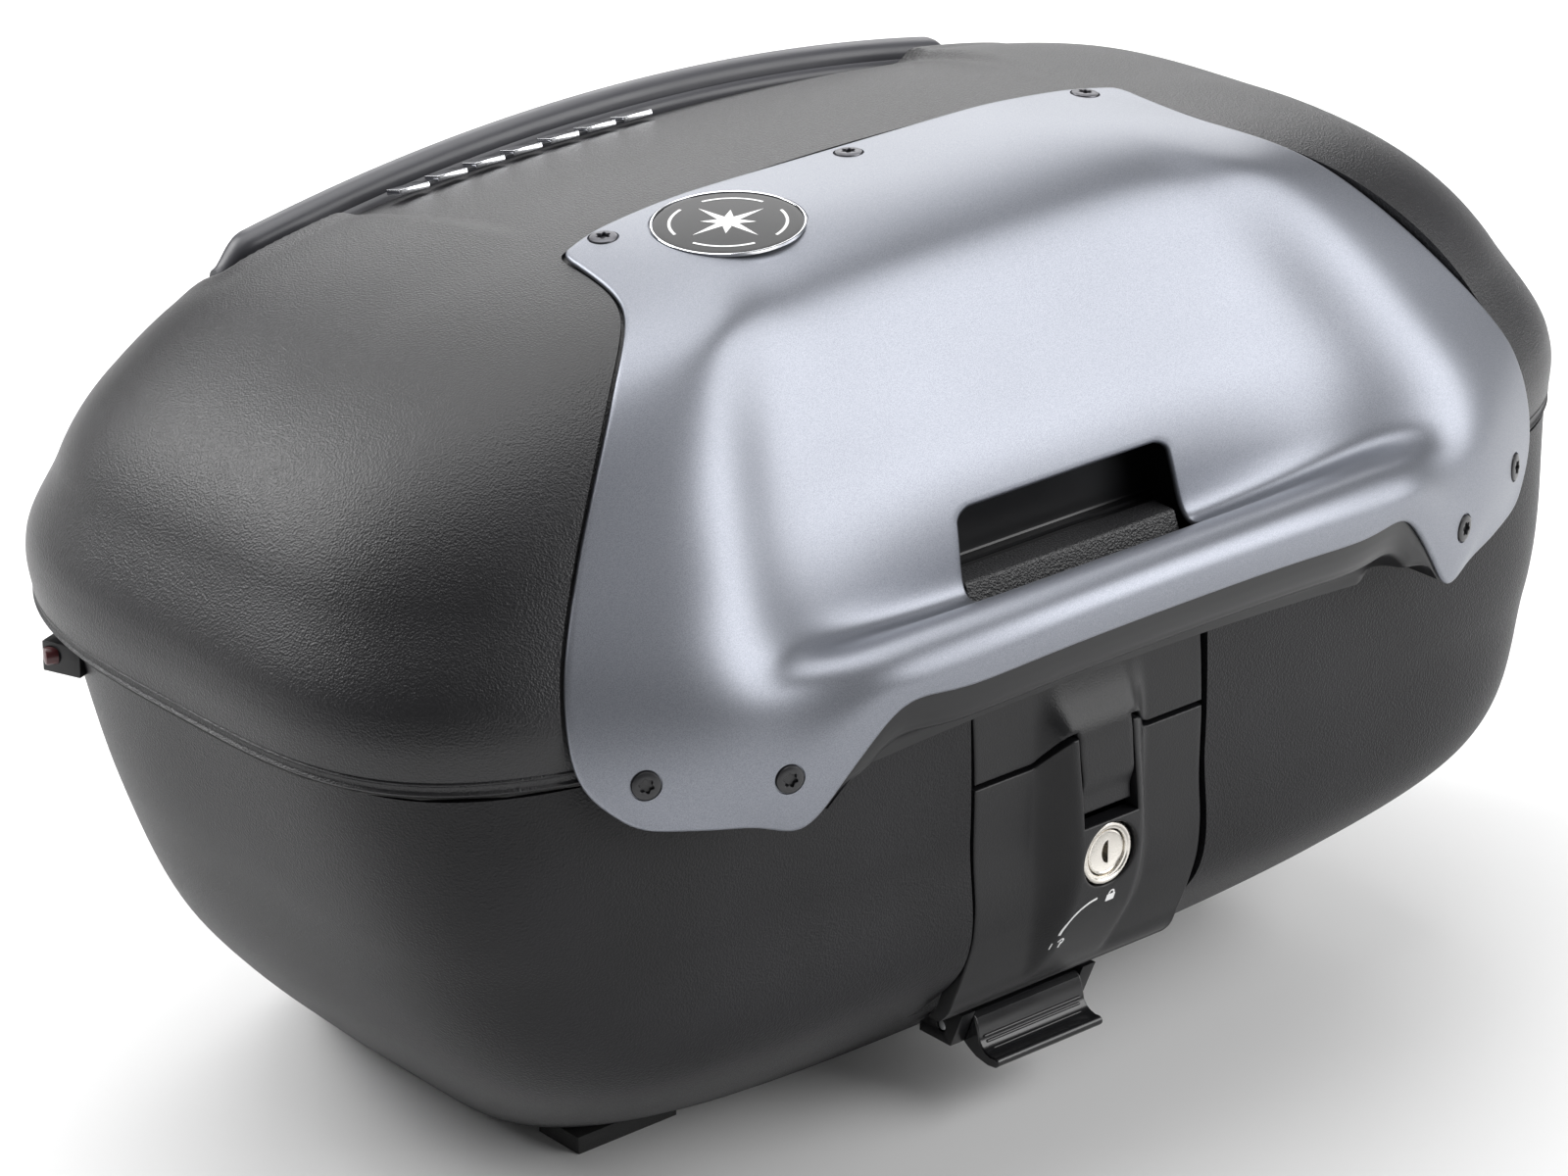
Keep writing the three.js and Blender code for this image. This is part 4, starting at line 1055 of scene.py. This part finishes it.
def build_badge():
    at, normal = BADGE_SPOT
    at = at - 0.6 * normal
    rim = [(25.4, -1.0), (25.4, -0.05), (25.6, 0.12), (25.95, 0.14), (26.2, -0.05), (26.2, -1.0)]
    revolved("badge_ring", rim, at, normal, "lid", LOOKS["chrome"], ["badge_rim"],
             160, 40, True)
    dome = [(0, -1.0), (25.2, -1.0), (25.2, -0.3)] + [(r, 0.45 * (1 - (r / 25.2) ** 2) - 0.25) for r in
                                                    (24.6, 23, 20, 16, 12, 8, 4, 0)]
    revolved("badge_face", dome, at, normal, "lid", LOOKS["badge"], ["badge_disc"], 160, 40)
    side = unit(np.cross([0, 1, 0], normal))
    other = np.cross(normal, side)
    lift = lambda r: 0.45 * (1 - (r / 25.2) ** 2) - 0.25
    points, faces = [], []

    def patch(outline):
        """Thin raised patch on the dome, from a fan of radius and angle pairs round its middle."""
        start, n = len(points), len(outline)
        mid = np.mean([[r * math.cos(a), r * math.sin(a)] for r, a in outline], 0)
        spots = [[r * math.cos(a), r * math.sin(a)] for r, a in outline] + [mid]
        for extra in (0.1, -0.2):
            for u, v in spots:
                points.append(at + u * side + v * other + (lift(math.hypot(u, v)) + extra) * normal)
        for j in range(n):
            k = (j + 1) % n
            faces.extend([[start + j, start + k, start + n],
                          [start + n + 1 + k, start + n + 1 + j, start + 2 * n + 1],
                          [start + j, start + n + 1 + j, start + n + 1 + k, start + k]])
    for k in range(8):
        middle = k * math.pi / 4
        tip = 15.5 if k % 2 == 0 else 9.5
        patch([(1.2, middle + math.pi), (4.2, middle - 0.36), (tip, middle), (4.2, middle + 0.36)])
    for k in range(4):
        turns = np.linspace(k * math.pi / 2 + 0.24, (k + 1) * math.pi / 2 - 0.24, 14)
        for a, b in zip(turns[:-1], turns[1:]):
            patch([(20.2, a), (20.2, b), (19.2, b), (19.2, a)])
    piece("badge_emblem", points, faces, "lid", LOOKS["print"])


# ---- rear lugs ----
def build_lugs():
    for side, s in (("left", -1), ("right", 1)):
        middle = node_middle(f"corner_lug_{side}")
        out = unit(np.array([s * 0.93, 0.36, 0.0]))
        oval = [(0, -3), (3.1, -3), (3.1, 0.6), (2.8, 1.1), (2.0, 1.4), (0, 1.5)]
        at = middle + 6.2 * out + np.array([0, 0, 0.8])
        revolved(f"lug_plug_{side}", oval, at, out, "base", LOOKS["plug"], (), 48)


panel = build_panel()
sink_wells(panel)
panel.data.set_sharp_from_angle(angle=math.radians(60))
build_lid()
build_base()
build_latch()
build_lock()
build_lock_marks()
build_apron()
build_hasp()
build_tray()
build_rail()
build_lever()
build_screws()
build_badge()
build_lugs()

# ---- CAD nodes that stay: material and rounded edges ----
KEPT = {
    "rubber": ["rim_seal", "floor_mat", "foot_front_left", "foot_front_right", "foot_rear_left",
               "foot_rear_right"],
    "satin": ["mounting_plate", "hinge_base_left", "hinge_base_right", "hinge_lid_left",
              "hinge_lid_right", "lever_ear_left", "lever_ear_right", "corner_lug_left", "corner_lug_right"],
    "chrome": [f"bright_bar_{k}" for k in range(1, 8)],
    "steel": ["latch_pin", "lever_pin", "hinge_pin_left", "hinge_pin_right", "lock_cam", "latch_bracket"],
}
for look, names in KEPT.items():
    for name in names:
        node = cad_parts[name]
        node.data.materials.clear()
        node.data.materials.append(LOOKS[look])
        if not node.hide_render:
            node.data.shade_smooth()
            round_edges(node, 0.4)

# ---- stage, light and camera ----
CAMERA_AIM = (-0.049, -0.043, 0.181)
CAMERA_AZIMUTH, CAMERA_ELEVATION, CAMERA_DISTANCE = -40.6, 24.0, 2.18
LENS = 146.0


def area_light(name, at, towards, size, power, colour=(1, 1, 1)):
    data = bpy.data.lights.new(name, "AREA")
    data.shape = "RECTANGLE"
    data.size, data.size_y = size
    data.energy = power
    data.color = colour
    light = bpy.data.objects.new(name, data)
    light.location = at
    light.rotation_euler = (Vector(towards) - Vector(at)).to_track_quat("-Z", "Y").to_euler()
    bpy.context.scene.collection.objects.link(light)


def build_stage():
    points = [[-6000, -6000, 0], [6000, -6000, 0], [6000, 6000, 0], [-6000, 6000, 0]]
    mesh = bpy.data.meshes.new("floor")
    mesh.from_pydata([[v / 1000 for v in p] for p in points], [], [[0, 1, 2, 3]])
    floor = bpy.data.objects.new("floor", mesh)
    bpy.context.scene.collection.objects.link(floor)
    look, tree, shader, where = new_look("pale_floor", (0.86, 0.86, 0.86), 0.85)
    tint = mix_colour(tree, ramp(tree, noise(tree, where, 400, 2), 0.3, 0.7), (0.85, 0.85, 0.85),
                      (0.87, 0.87, 0.87))
    tree.links.new(tint, shader.inputs["Base Color"])
    mesh.materials.append(look)


def build_lights():
    world = bpy.data.worlds.new("studio")
    bpy.context.scene.world = world
    world.use_nodes = True
    world.node_tree.nodes["Background"].inputs["Color"].default_value = (1, 1, 1, 1)
    world.node_tree.nodes["Background"].inputs["Strength"].default_value = 0.2
    target = (0, 0, 0.15)
    area_light("overhead", (0.1, 0.5, 2.3), target, (2.4, 2.0), 46)
    area_light("front_right_box", (1.5, -1.75, 1.3), target, (2.6, 1.8), 66)
    area_light("rear_right_card", (1.7, 2.0, 1.35), target, (2.3, 1.5), 30)
    area_light("rear_left_box", (-1.2, 1.9, 1.75), target, (1.6, 1.3), 62)


def build_camera():
    data = bpy.data.cameras.new("camera")
    data.lens = LENS
    data.sensor_width = 36.0
    data.clip_end = 50
    camera = bpy.data.objects.new("camera", data)
    a, e = math.radians(CAMERA_AZIMUTH), math.radians(CAMERA_ELEVATION)
    back = Vector((math.sin(a) * math.cos(e), -math.cos(a) * math.cos(e), math.sin(e)))
    camera.location = Vector(CAMERA_AIM) + CAMERA_DISTANCE * back
    camera.rotation_euler = back.to_track_quat("Z", "Y").to_euler()
    bpy.context.scene.collection.objects.link(camera)
    bpy.context.scene.camera = camera


build_stage()
build_lights()
build_camera()
bpy.context.scene.view_settings.view_transform = "Standard"
